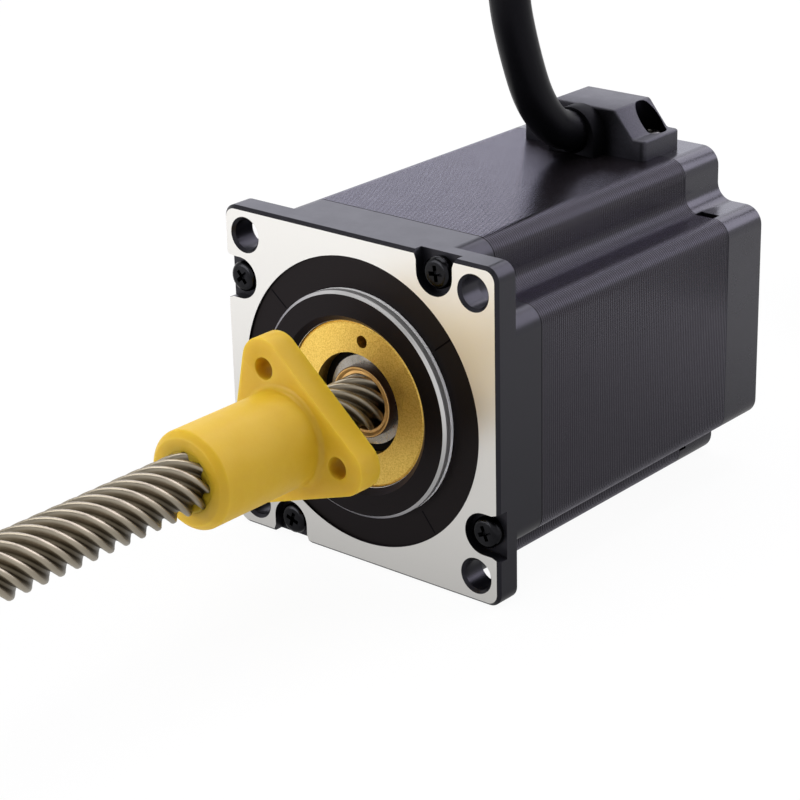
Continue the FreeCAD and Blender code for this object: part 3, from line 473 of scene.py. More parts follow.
@dataclass(frozen=True)
class ClampFinish(Finish):
    """Grained moulding with painted shade: black with no gloss in its screw wells and on its front."""

    well_play: float = 0.03
    painted_shade_black: str = "#040405"
    front_shade_share: float = 0.75
    # Painted shade comes in on the front between these two values of its normal's Y.
    front_shade_span: tuple[float, float] = (-0.6, -0.95)

    def dress(self, graph: Graph, place: Socket, shader: Node) -> None:
        """Feed the grain into the shader, then painted shade: black, glossless wells and front.

        Args:
            graph: Node tree of the material.
            place: Object coordinates in millimetres.
            shader: Principled shader.
        """
        super().dress(graph, place, shader)
        axes = graph.add("SeparateXYZ", {0: place}).outputs
        flat = graph.add("CombineXYZ", {0: axes[0], 1: axes[1]}).outputs[0]
        # Painted shade: the front and the wells turn to black metal, which shows no reflection.
        first, last = self.front_shade_span
        mask = graph.add("MapRange", {
            "Value": graph.facing(), "From Min": first, "From Max": last,
            "To Max": self.front_shade_share}).outputs[0]
        for x, y in CLAMP_SCREWS:
            away = graph.add("VectorMath", {0: flat, 1: (x, y, 0.0)}, operation="DISTANCE").outputs["Value"]
            well = graph.zone((away, Limit.BELOW, CLAMP_WELL + self.well_play))
            mask = graph.add("Math", {0: mask, 1: well}, operation="MAXIMUM").outputs[0]
        grained = shader.inputs["Base Color"].links[0].from_socket
        colour = graph.add("Mix", {
            0: mask, 6: grained, 7: linear(self.painted_shade_black)}, data_type="RGBA").outputs[2]
        graph.feed(shader, "Base Color", colour)
        graph.feed(shader, "Metallic", mask)


@dataclass(frozen=True)
class ThreadFinish(Finish):
    """Rolled steel whose colour darkens towards the roots as painted shade."""

    root_radius: float = 3.45
    crest_radius: float = 4.76

    def tint(self, graph: Graph, place: Socket, wide: Socket) -> Socket:
        """Colour from dark roots to bright crests; the dark roots are painted shade."""
        height = graph.add("MapRange", {
            "Value": graph.radius(place), "From Min": self.root_radius, "From Max": self.crest_radius},
            interpolation_type="SMOOTHSTEP").outputs[0]
        return graph.add("Mix", {
            0: height, 6: linear(self.shade), 7: linear(self.colour)}, data_type="RGBA").outputs[2]


@dataclass(frozen=True)
class SleeveFinish(Finish):
    """Turned bronze whose outside is painted dark brown as shade; its mouth keeps the bronze colour."""

    side_radius: float = 5.9
    painted_shade_brown: str = "#3d2413"

    def tint(self, graph: Graph, place: Socket, wide: Socket) -> Socket:
        """Colour by whether the point lies on the sleeve's outside, where shade is painted."""
        outside = graph.zone((graph.radius(place), Limit.ABOVE, self.side_radius))
        return graph.add("Mix", {
            0: outside, 6: super().tint(graph, place, wide), 7: linear(self.painted_shade_brown)},
            data_type="RGBA").outputs[2]


@dataclass(frozen=True)
class LeadFinish(Finish):
    """Insulated conductors in four colours side by side, bare copper at their ends.

    Args:
        start: Place of the cable's end in millimetres.
        outward: Direction in which the conductors lie side by side.
        step: Spacing of the conductors at their start, in millimetres.
        widening: Growth of that spacing along the conductors.
        bare_from: Length of the insulation in millimetres.
        colours: Colours of the insulation, the innermost first.
        copper: Colour of the bare ends.
    """

    start: Point = ORIGIN
    outward: Point = (1.0, 0.0, 0.0)
    step: float = 1.4
    widening: float = 0.07
    bare_from: float = 28.0
    colours: tuple[str, ...] = ("#a8231d", "#1d4f9e", "#1f7a3a", "#1c1c1e")
    copper: str = "#c98a5a"

    def tint(self, graph: Graph, place: Socket, wide: Socket) -> Socket:
        """Colour by which conductor the point lies on, copper where it is bare.

        Args:
            graph: Node tree of the material.
            place: Object coordinates in millimetres.
            wide: Slow cloud.

        Returns:
            The colour's socket.
        """
        offset = graph.add("VectorMath", {0: place, 1: self.start}, operation="SUBTRACT").outputs["Vector"]
        lengthwise = (-self.outward[1], self.outward[0], 0.0)
        across, along = (
            graph.add("VectorMath", {0: offset, 1: way}, operation="DOT_PRODUCT").outputs["Value"]
            for way in (self.outward, lengthwise))
        lane = graph.add("Math", {
            0: along, 1: self.widening, 2: self.step}, operation="MULTIPLY_ADD").outputs[0]
        number = graph.add("Math", {0: across, 1: lane}, operation="DIVIDE").outputs[0]
        layers = [(number, index - len(self.colours) / 2, tone) for index, tone in enumerate(self.colours)]
        layers.append((along, self.bare_from, self.copper))
        colour = super().tint(graph, place, wide)
        for value, start, tone in layers:
            mask = graph.zone((value, Limit.ABOVE, start))
            colour = graph.add("Mix", {0: mask, 6: colour, 7: linear(tone)}, data_type="RGBA").outputs[2]
        return colour


# Black coats of this kind throw the light back with a faint violet cast.
VIOLET_GLEAM = "#eeeaff"
# Die-cast aluminium in black powder coat: satin, faintly pebbled; turned rings show where it was cut.
CAP_COAT = CapFinish(
    "Black coated aluminium casting, face cut bright", "#0d0d10", "#131316", roughness=0.34, spread=0.02,
    grain=0.35, mix=0.6, marks=Marks.RINGS, pitch=0.3, depth=0.004, specular=0.33, gleam=VIOLET_GLEAM)
# The rear casting has the same coat with no cut faces.
REAR_COAT = Finish(
    "Black coated aluminium casting", "#171619", "#121114", roughness=0.26, spread=0.02, grain=0.35,
    relief=0.003, mix=0.6, specular=0.46, seams=(63.0,), gleam=VIOLET_GLEAM)
# Stacked electrical steel under glossy black lacquer: every sheet's edge is a fine ridge.
# Its hollows between sheets are dark gaps with painted shade: their gloss is taken out.
STACK_COAT = Finish(
    "Black lacquered electrical steel stack", "#231f22", "#050506", roughness=0.25, spread=0.015,
    relief=0.003, mix=0.2, marks=Marks.LAYERS, depth=0.04, banding=0.88, specular=0.46, seams=(10.9, 63.0),
    gleam=VIOLET_GLEAM)
# Ground bearing steel: mirror-like across the grind, stretched along it.
BEARING_STEEL = Finish(
    "Ground bearing steel", "#b9b4ac", "#857f76", metallic=1.0, roughness=0.26, spread=0.05, grain=0.3,
    relief=0.002, mix=0.6, marks=Marks.RINGS, pitch=0.2, depth=0.003, anisotropy=0.75)
# Yellow chromate on brass, etched matt: sparkles from a grain of a quarter millimetre.
RETAINER_COAT = Finish(
    "Chromated brass, etched", "#f0cd6c", "#c39632", metallic=1.0, roughness=0.42, grain=0.28, relief=0.05,
    mix=0.1, speckle=0.55)
# Turned sintered bronze: golden, with faint turning rings; its outside is painted dark brown as shade.
SLEEVE_BRONZE = SleeveFinish(
    "Turned bronze", "#f0c47c", "#d9a862", metallic=0.55, spread=0.08, mix=0.6, marks=Marks.RINGS, pitch=0.25,
    depth=0.004)
# Cold-rolled stainless thread: grey metal, darker towards the roots as painted shade.
THREAD_STEEL = ThreadFinish(
    "Rolled stainless thread", "#9d9484", "#5c5446", metallic=1.0, roughness=0.38, grain=0.3, relief=0.006)
# Machined yellow engineering plastic: matt, a little waxy, with scuffs from handling.
NUT_PLASTIC = Finish(
    "Machined acetal, yellow", "#d3ad24", "#c89e1a", roughness=0.48, grain=0.35, relief=0.012, mix=0.3,
    specular=0.36, wax=0.6)
# Moulded glass-filled nylon: fine grain that scatters the light, painted shade in wells and front.
CLAMP_NYLON = ClampFinish(
    "Moulded black nylon, glass filled", "#121214", "#2c2c31", roughness=0.44, spread=0.02, grain=0.28,
    relief=0.035, mix=0.0, gleam=VIOLET_GLEAM, speckle=0.6)
# Moulded rubber: dull black that hardly gleams.
GROMMET_RUBBER = Finish(
    "Moulded black rubber", "#08080a", "#0c0c0e", roughness=0.55, spread=0.04, relief=0.012, mix=0.6,
    specular=0.05, gleam=VIOLET_GLEAM)
# Extruded PVC jacket: soft sheen along the length, fine dust in the matt skin.
CABLE_JACKET = Finish(
    "Extruded black PVC jacket", "#070709", "#0b0b0d", roughness=0.4, spread=0.03, grain=0.5, relief=0.008,
    specular=0.1, gleam=VIOLET_GLEAM)
# Bearing seal: matt moulded rubber that shows as a black line round the race.
SEAL_RUBBER = Finish(
    "Moulded bearing seal rubber", "#0a0a0b", "#111113", roughness=0.6, spread=0.05, relief=0.006,
    specular=0.1)
# Moulded nylon strap: smooth dark grey with a soft sheen.
TIE_NYLON = Finish("Moulded black nylon strap", "#1f1f22", "#2a2a2d", grain=0.5, relief=0.008)
# Black oxide on steel screws: dark, oily sheen, brighter where a driver rubbed.
SCREW_OXIDE = Finish(
    "Black oxide steel", "#1c1c1e", "#303033", metallic=1.0, roughness=0.22, spread=0.05, mix=0.7)
# Zinc plate on steel: smooth grey metal, clouded darker by handling.
SCREW_ZINC = Finish(
    "Zinc plated steel", "#5d5b58", "#3f3d3a", metallic=1.0, roughness=0.2, spread=0.05, mix=0.6)
# Natural nylon: creamy white and matt.
INSULATOR_NYLON = Finish(
    "Moulded natural nylon", "#e6e0cf", "#d8cfb8", roughness=0.5, grain=0.6, relief=0.008)
# Enamelled wire lies in turns of about half a millimetre, which show as layers.
WINDING_WIRE = Finish(
    "Enamelled copper wire", "#b8622e", "#8a4318", metallic=1.0, roughness=0.35, mix=0.6, marks=Marks.LAYERS,
    pitch=0.55, depth=0.05)
# Solder mask on glass laminate: even green with a low gloss.
BOARD_LAMINATE = Finish(
    "Solder-masked glass laminate", "#1f5c37", "#184a2c", roughness=0.35, spread=0.05, grain=0.5, relief=0.01)
# Ground sheets of silicon steel: grey metal in fine layers.
ROTOR_STEEL = Finish(
    "Ground silicon steel", "#9a9a9c", "#77777a", metallic=1.0, roughness=0.32, mix=0.6, marks=Marks.LAYERS,
    depth=0.01)
# Ground sintered magnet: dull dark metal.
MAGNET_GREY = Finish("Sintered magnet, ground", "#5a5a5e", "#48484b", metallic=1.0, relief=0.006)
# Turned aluminium: pale metal with fine turning rings.
SPACER_ALUMINIUM = Finish(
    "Turned aluminium", "#c9cacc", "#aeb0b3", metallic=1.0, roughness=0.3, marks=Marks.RINGS, pitch=0.25,
    depth=0.004)
# Extruded insulation: smooth dark red.
INNER_LEAD = Finish("Insulated hook-up wire", "#8f2a20", "#6f1f18", roughness=0.42, spread=0.05, relief=0.006)


class Bench:
    """Hand tools: add, select, edit and finish meshes the way a modeller does."""

    # Points closer than these are one, in metres: in a finished mesh, and in the copy of a CAD node.
    MERGE_GAP = 0.5e-6
    CAD_MERGE_GAP = 1e-6
    # Faces of a CAD node that differ by less than the first angle are one flat face, in degrees.  Edges
    # sharper than the second one are rounded.
    FLAT_WITHIN = 0.5
    ROUND_FROM = 38.0

    @staticmethod
    def clear() -> None:
        """Leave edit mode and deselect every object."""
        if bpy.context.object and bpy.context.object.mode != "OBJECT":
            bpy.ops.object.mode_set(mode="OBJECT")
        bpy.ops.object.select_all(action="DESELECT")

    @staticmethod
    def take(piece: Piece) -> None:
        """Make one object the only selected and active one.

        Args:
            piece: Object to select.
        """
        Bench.clear()
        piece.select_set(True)
        bpy.context.view_layer.objects.active = piece

    @staticmethod
    def start(adder: Callable[..., Any], name: str, at: Point = ORIGIN, turn: Point = ORIGIN,
              sides: Point | None = None, **settings: Any) -> Piece:
        """Add a primitive and put its place, turn and size into its mesh.

        Args:
            adder: Blender's operator that adds the primitive.
            name: Name of the piece.
            at: Place in millimetres.
            turn: Rotation in radians.
            sides: Sides in millimetres, for a cube or a plane.
            **settings: Settings of the primitive, its lengths in metres.

        Returns:
            The piece.
        """
        Bench.clear()
        if sides:
            settings["size"] = 1.0
        adder(location=Vector(at) * MM, rotation=turn, **settings)
        if sides:
            bpy.ops.transform.resize(value=Vector(sides) * MM, orient_type="LOCAL")
        piece = bpy.context.object
        piece.name = name
        piece.data.name = name
        bpy.ops.object.transform_apply(location=True, rotation=True, scale=True)
        return piece

    @staticmethod
    def pick(piece: Piece, kind: str, test: Callable[[Any], bool] | None = None) -> int:
        """Enter edit mode with only the elements that pass a test selected.

        Args:
            piece: Mesh object.
            kind: VERT, EDGE or FACE.
            test: Says which element is wanted; all of them without it.

        Returns:
            Number of selected elements.
        """
        Bench.take(piece)
        bpy.ops.object.mode_set(mode="EDIT")
        bpy.ops.mesh.select_mode(type=kind)
        bpy.ops.mesh.select_all(action="DESELECT")
        shape = bmesh.from_edit_mesh(piece.data)
        elements = {"VERT": shape.verts, "EDGE": shape.edges, "FACE": shape.faces}[kind]
        chosen = [element for element in elements if test is None or test(element)]
        for element in chosen:
            element.select_set(True)
        bmesh.update_edit_mesh(piece.data)
        return len(chosen)

    @staticmethod
    def pull(x: float, y: float, z: float) -> None:
        """Extrude the selected faces by a way in millimetres."""
        bpy.ops.mesh.extrude_region_move(TRANSFORM_OT_translate={"value": Vector((x, y, z)) * MM})

    @staticmethod
    def pull_edges(x: float, y: float, z: float) -> None:
        """Extrude the selected edges by a way in millimetres."""
        bpy.ops.mesh.extrude_edges_move(TRANSFORM_OT_translate={"value": Vector((x, y, z)) * MM})

    @staticmethod
    def bevel(width: float, segments: int, affect: str = "EDGES") -> None:
        """Round what is selected by a width in millimetres."""
        bpy.ops.mesh.bevel(offset=width * MM, segments=segments, affect=affect)

    @staticmethod
    def done(piece: Piece, angle: float = 35.0) -> Piece:
        """Merge, turn the faces outwards and shade the finished mesh.

        Args:
            piece: Mesh object.
            angle: Edges sharper than this stay sharp, in degrees.

        Returns:
            The same object.
        """
        Bench.take(piece)
        bpy.ops.object.mode_set(mode="EDIT")
        bpy.ops.mesh.select_all(action="SELECT")
        bpy.ops.mesh.remove_doubles(threshold=Bench.MERGE_GAP)
        bpy.ops.mesh.normals_make_consistent(inside=False)
        bpy.ops.object.mode_set(mode="OBJECT")
        bpy.ops.object.shade_smooth_by_angle(angle=math.radians(angle))
        Bench.clear()
        return piece

    @staticmethod
    def apply(piece: Piece, kind: str, **settings: Any) -> None:
        """Add a modifier and apply it.

        Args:
            piece: Mesh object.
            kind: Blender's modifier type.
            **settings: Attributes of the modifier.
        """
        Bench.take(piece)
        modifier = piece.modifiers.new(kind.title(), kind)
        for name, value in settings.items():
            setattr(modifier, name, value)
        bpy.ops.object.modifier_apply(modifier=modifier.name)

    @staticmethod
    def cut(piece: Piece, tool: Piece) -> None:
        """Take a solid away from a piece, and drop the solid."""
        Bench.apply(piece, "BOOLEAN", object=tool, operation="DIFFERENCE", solver="EXACT")
        bpy.data.objects.remove(tool)

    @staticmethod
    def join(pieces: list[Piece], name: str) -> Piece:
        """Join several objects into one piece.

        Args:
            pieces: Mesh objects; the first one is kept.
            name: Name of the joined piece.

        Returns:
            The joined piece.
        """
        Bench.take(pieces[0])
        for piece in pieces[1:]:
            piece.select_set(True)
        bpy.ops.object.join()
        pieces[0].name = name
        pieces[0].data.name = name
        Bench.clear()
        return pieces[0]

    @staticmethod
    def spread(pattern: Piece, places: list[Matrix], name: str) -> Piece:
        """Set copies of a pattern at several places, join them and drop the pattern.

        Args:
            pattern: Mesh object to copy.
            places: Matrix of each copy.
            name: Name of the joined piece.

        Returns:
            The joined piece.
        """
        copies = []
        for place in places:
            twin = pattern.copy()
            twin.data = pattern.data.copy()
            twin.data.transform(place)
            bpy.context.scene.collection.objects.link(twin)
            copies.append(twin)
        bpy.data.objects.remove(pattern)
        return Bench.join(copies, name)

    @staticmethod
    def copied(node: str, name: str) -> Piece:
        """Copy a CAD node with its flat faces made whole.

        Args:
            node: Name of the CAD node.
            name: Name of the new piece.

        Returns:
            The new piece.
        """
        piece = bpy.data.objects.new(name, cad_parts[node].data.copy())
        piece.data.name = name
        piece.data.materials.clear()
        bpy.context.scene.collection.objects.link(piece)
        Bench.take(piece)
        bpy.ops.mesh.customdata_custom_splitnormals_clear()
        bpy.ops.object.mode_set(mode="EDIT")
        bpy.ops.mesh.select_all(action="SELECT")
        bpy.ops.mesh.remove_doubles(threshold=Bench.CAD_MERGE_GAP)
        bpy.ops.mesh.dissolve_limited(angle_limit=math.radians(Bench.FLAT_WITHIN))
        bpy.ops.object.mode_set(mode="OBJECT")
        return piece

    @staticmethod
    def softened(node: str, name: str, width: float) -> Piece:
        """Copy a CAD node and round its sharp edges.

        Args:
            node: Name of the CAD node.
            name: Name of the new piece.
            width: Width of the rounding in millimetres.

        Returns:
            The new piece.
        """
        piece = Bench.copied(node, name)
        Bench.apply(piece, "BEVEL", width=width * MM, segments=2, limit_method="ANGLE",
                    angle_limit=math.radians(Bench.ROUND_FROM), use_clamp_overlap=True)
        return Bench.done(piece)


def mount(piece: Piece, body: str, slot: str, finish: Finish, *replaced: str) -> None:
    """Give a new piece its finish and its body.

    Args:
        piece: New piece.
        body: Body that it rides on.
        slot: Material slot's name; not used.
        finish: Finish of the piece.
        *replaced: CAD nodes that it stands for.
    """
    piece.data.materials.clear()
    piece.data.materials.append(finish.build())
    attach(piece, body)
    if replaced:
        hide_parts(*replaced)
    log.info("piece %s on %s, %s", piece.name, body, finish.title)


@dataclass(frozen=True)
class Lamp:
    """Soft square lamp that points at the motor.

    Args:
        name: Name of the lamp.
        place: Place in metres.
        side: Side of the lamp in metres.
        power: Power in watts.
        tone: Colour of the light.
        target: Place that the lamp points at, in metres.
    """

    name: str
    place: Point
    side: float
    power: float
    tone: str = WHITE
    target: Point = (0.0, 0.02, 0.0)

    def hang(self) -> None:
        """Put the lamp into the scene."""
        data = bpy.data.lights.new(self.name, "AREA")
        data.size = self.side
        data.energy = self.power
        data.color = linear(self.tone)[:3]
        lamp = bpy.data.objects.new(self.name, data)
        lamp.location = self.place
        aim = Vector(self.target) - lamp.location
        lamp.rotation_euler = aim.to_track_quat("-Z", "Y").to_euler()
        bpy.context.scene.collection.objects.link(lamp)


@dataclass
class Studio:
    """Camera of the photograph, soft light from above, pale floor and white ground."""

    azimuth: float = 40.629
    elevation: float = 22.004
    roll: float = -1.3785
    place: Point = (243.448, -273.680, 148.369)
    focal: float = 2476.93
    sensor: float = 36.0
    near_clip: float = 0.01
    floor_z: float = -28.2
    floor_half: float = 1.5
    paper: str = "#f4f4f4"
    paper_glow: float = 0.95
    ambient: float = 0.2
    # Mirror images of the ground fade into a grey ceiling between these two heights, in degrees.
    ceiling: tuple[float, float] = (37.0, 45.0)
    # The motor's footprint in metres, and how far and how deep it shades mirror images of the floor.
    footing: Point = (0.0, 0.03675, 0.0)
    footing_half: Point = (0.0282, 0.03675, 1.0)
    shade_reach: float = 0.09
    shade_depth: float = 0.5
    lamps: tuple[Lamp, ...] = (
        Lamp("overhead softbox", (-0.10, 0.05, 0.75), 0.7, 5.0),
        Lamp("back softbox", (-0.62, 0.74, 0.40), 0.6, 1.25, "#e9e9ff"),
        Lamp("rim softbox", (0.46, 0.72, 0.52), 0.65, 4.8, "#f2efff"),
        Lamp("front fill", (-0.35, -0.65, 0.15), 0.5, 3.2),
        Lamp("side strip", (0.75, 0.25, 0.30), 0.35, 0.2),
        Lamp("high back softbox", (-0.05, 0.74, 0.70), 0.5, 2.4, "#f2efff"))

    def camera(self) -> None:
        """Set the camera where it was fitted to the photograph."""
        az, el, roll = (math.radians(a) for a in (self.azimuth, self.elevation, self.roll))
        back = Vector((math.sin(az) * math.cos(el), -math.cos(az) * math.cos(el), math.sin(el)))
        right = Vector((math.cos(az), math.sin(az), 0.0))
        up = back.cross(right)
        side = right * math.cos(roll) + up * math.sin(roll)
        top = up * math.cos(roll) - right * math.sin(roll)
        data = bpy.data.cameras.new("camera")
        data.sensor_width = self.sensor
        data.lens = self.focal / IMAGE_SIZE * self.sensor
        data.clip_start = self.near_clip
        eye = bpy.data.objects.new("camera", data)
        turn = Matrix((side, top, back)).transposed().to_4x4()
        eye.matrix_world = Matrix.Translation(Vector(self.place) * MM) @ turn
        bpy.context.scene.collection.objects.link(eye)
        bpy.context.scene.camera = eye

    def world(self) -> None:
        """White ground to the eye and in reflections, grey light and a grey ceiling from elsewhere."""
        world = bpy.data.worlds.new("ground")
        graph = Graph(world)
        rays = graph.add("LightPath").outputs
        height = graph.add("SeparateXYZ", {0: graph.add("TexCoord").outputs["Generated"]}).outputs[2]
        low, high = (math.sin(math.radians(angle)) for angle in self.ceiling)
        ground = graph.add("MapRange", {
            "Value": height, "From Min": low, "From Max": high, "To Min": 1.0, "To Max": 0.0},
            interpolation_type="SMOOTHSTEP").outputs[0]
        seen = graph.add("Math", {0: rays["Is Glossy Ray"], 1: ground}, operation="MULTIPLY").outputs[0]
        for ray in ("Is Camera Ray", "Is Transmission Ray"):
            seen = graph.add("Math", {0: rays[ray], 1: seen}, operation="MAXIMUM").outputs[0]
        strength = graph.add("MapRange", {"Value": seen, "To Min": self.ambient}).outputs[0]
        light = graph.add("Background", {"Color": linear(WHITE), "Strength": strength})
        graph.add("OutputWorld", {"Surface": light.outputs[0]})
        bpy.context.scene.world = world

    def floor(self) -> None:
        """Lay a pale floor that reads as white ground and keeps a soft shadow."""
        floor = Bench.start(bpy.ops.mesh.primitive_plane_add, "floor", (0.0, 0.0, self.floor_z),
                            size=2 * self.floor_half)
        material = bpy.data.materials.new("Pale seamless paper")
        graph = Graph(material)
        rays = graph.add("LightPath").outputs
        paper = graph.add("BsdfDiffuse", {"Color": linear(self.paper)})
        # In mirror images the floor is darker close to the motor, where the motor shades it.
        away = graph.add("NewGeometry").outputs["Position"]
        for operation, other in (("SUBTRACT", self.footing), ("ABSOLUTE", ORIGIN),
                                 ("SUBTRACT", self.footing_half), ("MAXIMUM", ORIGIN)):
            away = graph.add("VectorMath", {0: away, 1: other}, operation=operation).outputs["Vector"]
        gap = graph.add("VectorMath", {0: away}, operation="LENGTH").outputs["Value"]
        image = graph.add("MapRange", {
            "Value": gap, "From Max": self.shade_reach, "To Min": self.shade_depth}).outputs[0]
        strength = graph.add("Mix", {0: rays["Is Glossy Ray"], 2: 1.0, 3: image}).outputs[0]
        glow = graph.add("Emission", {"Color": linear(WHITE), "Strength": strength})
        shown = graph.add("Math", {
            0: rays["Is Camera Ray"], 1: self.paper_glow}, operation="MULTIPLY").outputs[0]
        share = graph.add("Math", {0: shown, 1: rays["Is Glossy Ray"]}, operation="MAXIMUM").outputs[0]
        mixed = graph.add("MixShader", {0: share, 1: paper.outputs[0], 2: glow.outputs[0]})
        graph.add("OutputMaterial", {"Surface": mixed.outputs[0]})
        floor.data.materials.append(material)

    def build(self) -> None:
        """Set up camera, light and ground."""
        bpy.context.scene.view_settings.view_transform = "Standard"
        self.camera()
        self.world()
        self.floor()
        for lamp in self.lamps:
            lamp.hang()


@dataclass
class Cable:
    """Jacketed cable: out of its grommet, up and over, down to a tied coil, with its bare end and strap."""

    diameter: float = 6.8
    length: float = 914.4
    round_steps: int = 6
    line_steps: int = 8
    exit: Point = (1.0, 55.2, 31.8)
    route: tuple[Point, ...] = (
        (1.0, 62.9, 31.8), (1.0, 53.0, 31.8), (1.0, 45.5, 38.6), (1.0, 41.2, 48.2), (1.0, 37.6, 60.0),
        (1.1, 37.9, 80.5), (5.0, 47.6, 98.6), (11.5, 64.0, 108.7), (19.2, 83.1, 108.7), (25.7, 99.5, 98.6),
        (30.2, 110.7, 81.4), (33.8, 119.8, 52.7), (36.2, 125.8, 21.5), (39.4, 136.0, 5.2),
        (42.8, 149.6, -5.5), (48.2, 164.2, -10.1), (50.3, 178.0, -10.1))
    # The coil and the route's last points are moved back, to keep the coil out of the picture.
    centre: tuple[float, float] = (19.2, 175.7)
    # Stations of the coil: angle in degrees and height.  Three flat turns with a short ramp between.
    turns: tuple[tuple[float, float], ...] = (
        (24.2, -10.1), (298.2, -10.1), (338.2, -17.0), (658.2, -17.0), (698.2, -23.9), (1004.2, -23.9))
    turn_radius: float = 31.2
    turn_step: float = 20.0
    tie_angle: float = 110.0
    tie_width: float = 4.0
    tie_thickness: float = 0.9
    tie_corner: float = 2.6
    # Inner and outer radius, bottom and top of the strap's inside.
    tie_inside: tuple[float, float, float, float] = (27.15, 34.3, -27.3, -6.5)
    tie_head: Point = (5.0, 3.2, 6.0)
    tie_head_edge: float = 0.5
    lead_count: int = 4
    lead_diameter: float = 1.1
    lead_sides: int = 16
    lead_pitch: float = 1.4
    lead_length: float = 34.0
    lead_parts: int = 4
    lead_angle: float = 284.2
    lead_radius: float = 30.7
    lead_splay: float = 4.0
    bare_length: float = 6.0
    bare_share: float = 0.6

    def coil_points(self) -> list[Point]:
        """Lay out the coil's turns, one point every turn step.

        Returns:
            Points in millimetres.
        """
        points = []
        first, last = self.turns[0][0], self.turns[-1][0]
        for index in range(round((last - first) / self.turn_step) + 1):
            angle = first + index * self.turn_step
            (start, low), (end, high) = next(
                pair for pair in zip(self.turns, self.turns[1:]) if pair[0][0] <= angle <= pair[1][0])
            height = low + (angle - start) / (end - start) * (high - low)
            turn = math.radians(angle)
            points.append((self.centre[0] + self.turn_radius * math.cos(turn),
                           self.centre[1] + self.turn_radius * math.sin(turn), height))
        return points

    def cord(self) -> Piece:
        """Draw the cable as one smooth spline.

        Returns:
            The curve.
        """
        data = bpy.data.curves.new("cable_line", "CURVE")
        data.dimensions = "3D"
        data.bevel_depth = self.diameter / 2 * MM
        data.bevel_resolution = self.round_steps
        data.resolution_u = self.line_steps
        data.use_fill_caps = True
        points = [*self.route, *self.coil_points()]
        spline = data.splines.new("NURBS")
        spline.points.add(len(points) - 1)
        for point, place in zip(spline.points, points):
            point.co = (*(Vector(place) * MM), 1.0)
        spline.order_u = 3
        spline.use_endpoint_u = True
        spline.use_smooth = True
        piece = bpy.data.objects.new("cable_line", data)
        bpy.context.scene.collection.objects.link(piece)
        return piece

    def strap(self) -> Piece:
        """Make the coil's strap with its locking head.

        Returns:
            The strap.
        """
        inner, outer, low, high = self.tie_inside
        band = Bench.start(bpy.ops.mesh.primitive_plane_add, "coil_strap",
                           sides=(outer - inner, high - low, 1.0))
        Bench.pick(band, "VERT")
        Bench.bevel(self.tie_corner, segments=5, affect="VERTICES")
        bpy.ops.mesh.delete(type="ONLY_FACE")
        bpy.ops.mesh.select_all(action="SELECT")
        Bench.pull_edges(0.0, 0.0, self.tie_width)
        Bench.done(band)
        Bench.apply(band, "SOLIDIFY", thickness=self.tie_thickness * MM, offset=1.0)
        head = Bench.start(bpy.ops.mesh.primitive_cube_add, "strap_head",
                           (0.0, (high - low) / 2, self.tie_width / 2), sides=self.tie_head)
        Bench.pick(head, "EDGE")
        Bench.bevel(self.tie_head_edge, segments=3)
        strap = Bench.join([band, head], "coil_strap")
        upright = Matrix.Translation((0, self.tie_width / 2 * MM, 0)) @ Matrix.Rotation(QUARTER, 4, "X")
        middle = Matrix.Translation(((inner + outer) / 2 * MM, 0, (low + high) / 2 * MM))
        around = Matrix.Rotation(math.radians(self.tie_angle), 4, "Z")
        centre = Matrix.Translation((self.centre[0] * MM, self.centre[1] * MM, 0))
        strap.data.transform(centre @ around @ middle @ upright)
        return Bench.done(strap)

    def outward(self) -> Vector:
        """Direction from the coil's centre to the cable's end."""
        turn = math.radians(self.lead_angle)
        return Vector((math.cos(turn), math.sin(turn), 0.0))

    def lead_start(self) -> Vector:
        """Place of the cable's end in millimetres."""
        return Vector((*self.centre, self.turns[-1][1])) + self.outward() * self.lead_radius

    def leads(self) -> Piece:
        """Make the four stripped conductors at the cable's end.

        Returns:
            The joined conductors.
        """
        pieces = []
        part = (self.lead_length - self.bare_length) / self.lead_parts
        steps = [(part, 1.0)] * self.lead_parts + [(0.0, self.bare_share), (self.bare_length, 1.0)]
        for index in range(self.lead_count):
            spread = index - (self.lead_count - 1) / 2
            lead = Bench.start(bpy.ops.mesh.primitive_circle_add, f"lead_{index + 1}",
                               turn=ROUND_X, vertices=self.lead_sides,
                               radius=self.lead_diameter / 2 * MM, fill_type="NGON")
            Bench.pick(lead, "FACE")
            for reach, scale in steps:
                Bench.pull(0.0, -reach, 0.0)
                if scale != 1.0:
                    bpy.ops.transform.resize(value=(scale, 1.0, scale))
            Bench.clear()
            turn = self.lead_angle + 180.0 - self.lead_splay * spread
            place = Matrix.Translation((self.lead_start() + self.outward() * spread * self.lead_pitch) * MM)
            lead.data.transform(place @ Matrix.Rotation(math.radians(turn), 4, "Z"))
            pieces.append(lead)
        return Bench.done(Bench.join(pieces, "bare_leads"))

    def build(self) -> None:
        jacket = self.cord()
        mount(jacket, "motor", "cable_jacket", CABLE_JACKET, "cable", "cable_coil")
        strap = self.strap()
        mount(strap, "motor", "tie_plastic", TIE_NYLON, "coil_tie")
        leads = self.leads()
        finish = LeadFinish(
            "Insulated hook-up wire, ends bared", "#a8231d", "#8d1c17", roughness=0.4, spread=0.05,
            start=tuple(self.lead_start()), outward=tuple(self.outward()), step=self.lead_pitch,
            widening=math.tan(math.radians(self.lead_splay)), bare_from=self.lead_length - self.bare_length)
        mount(leads, "motor", "lead_plastic", finish, "flying_leads")


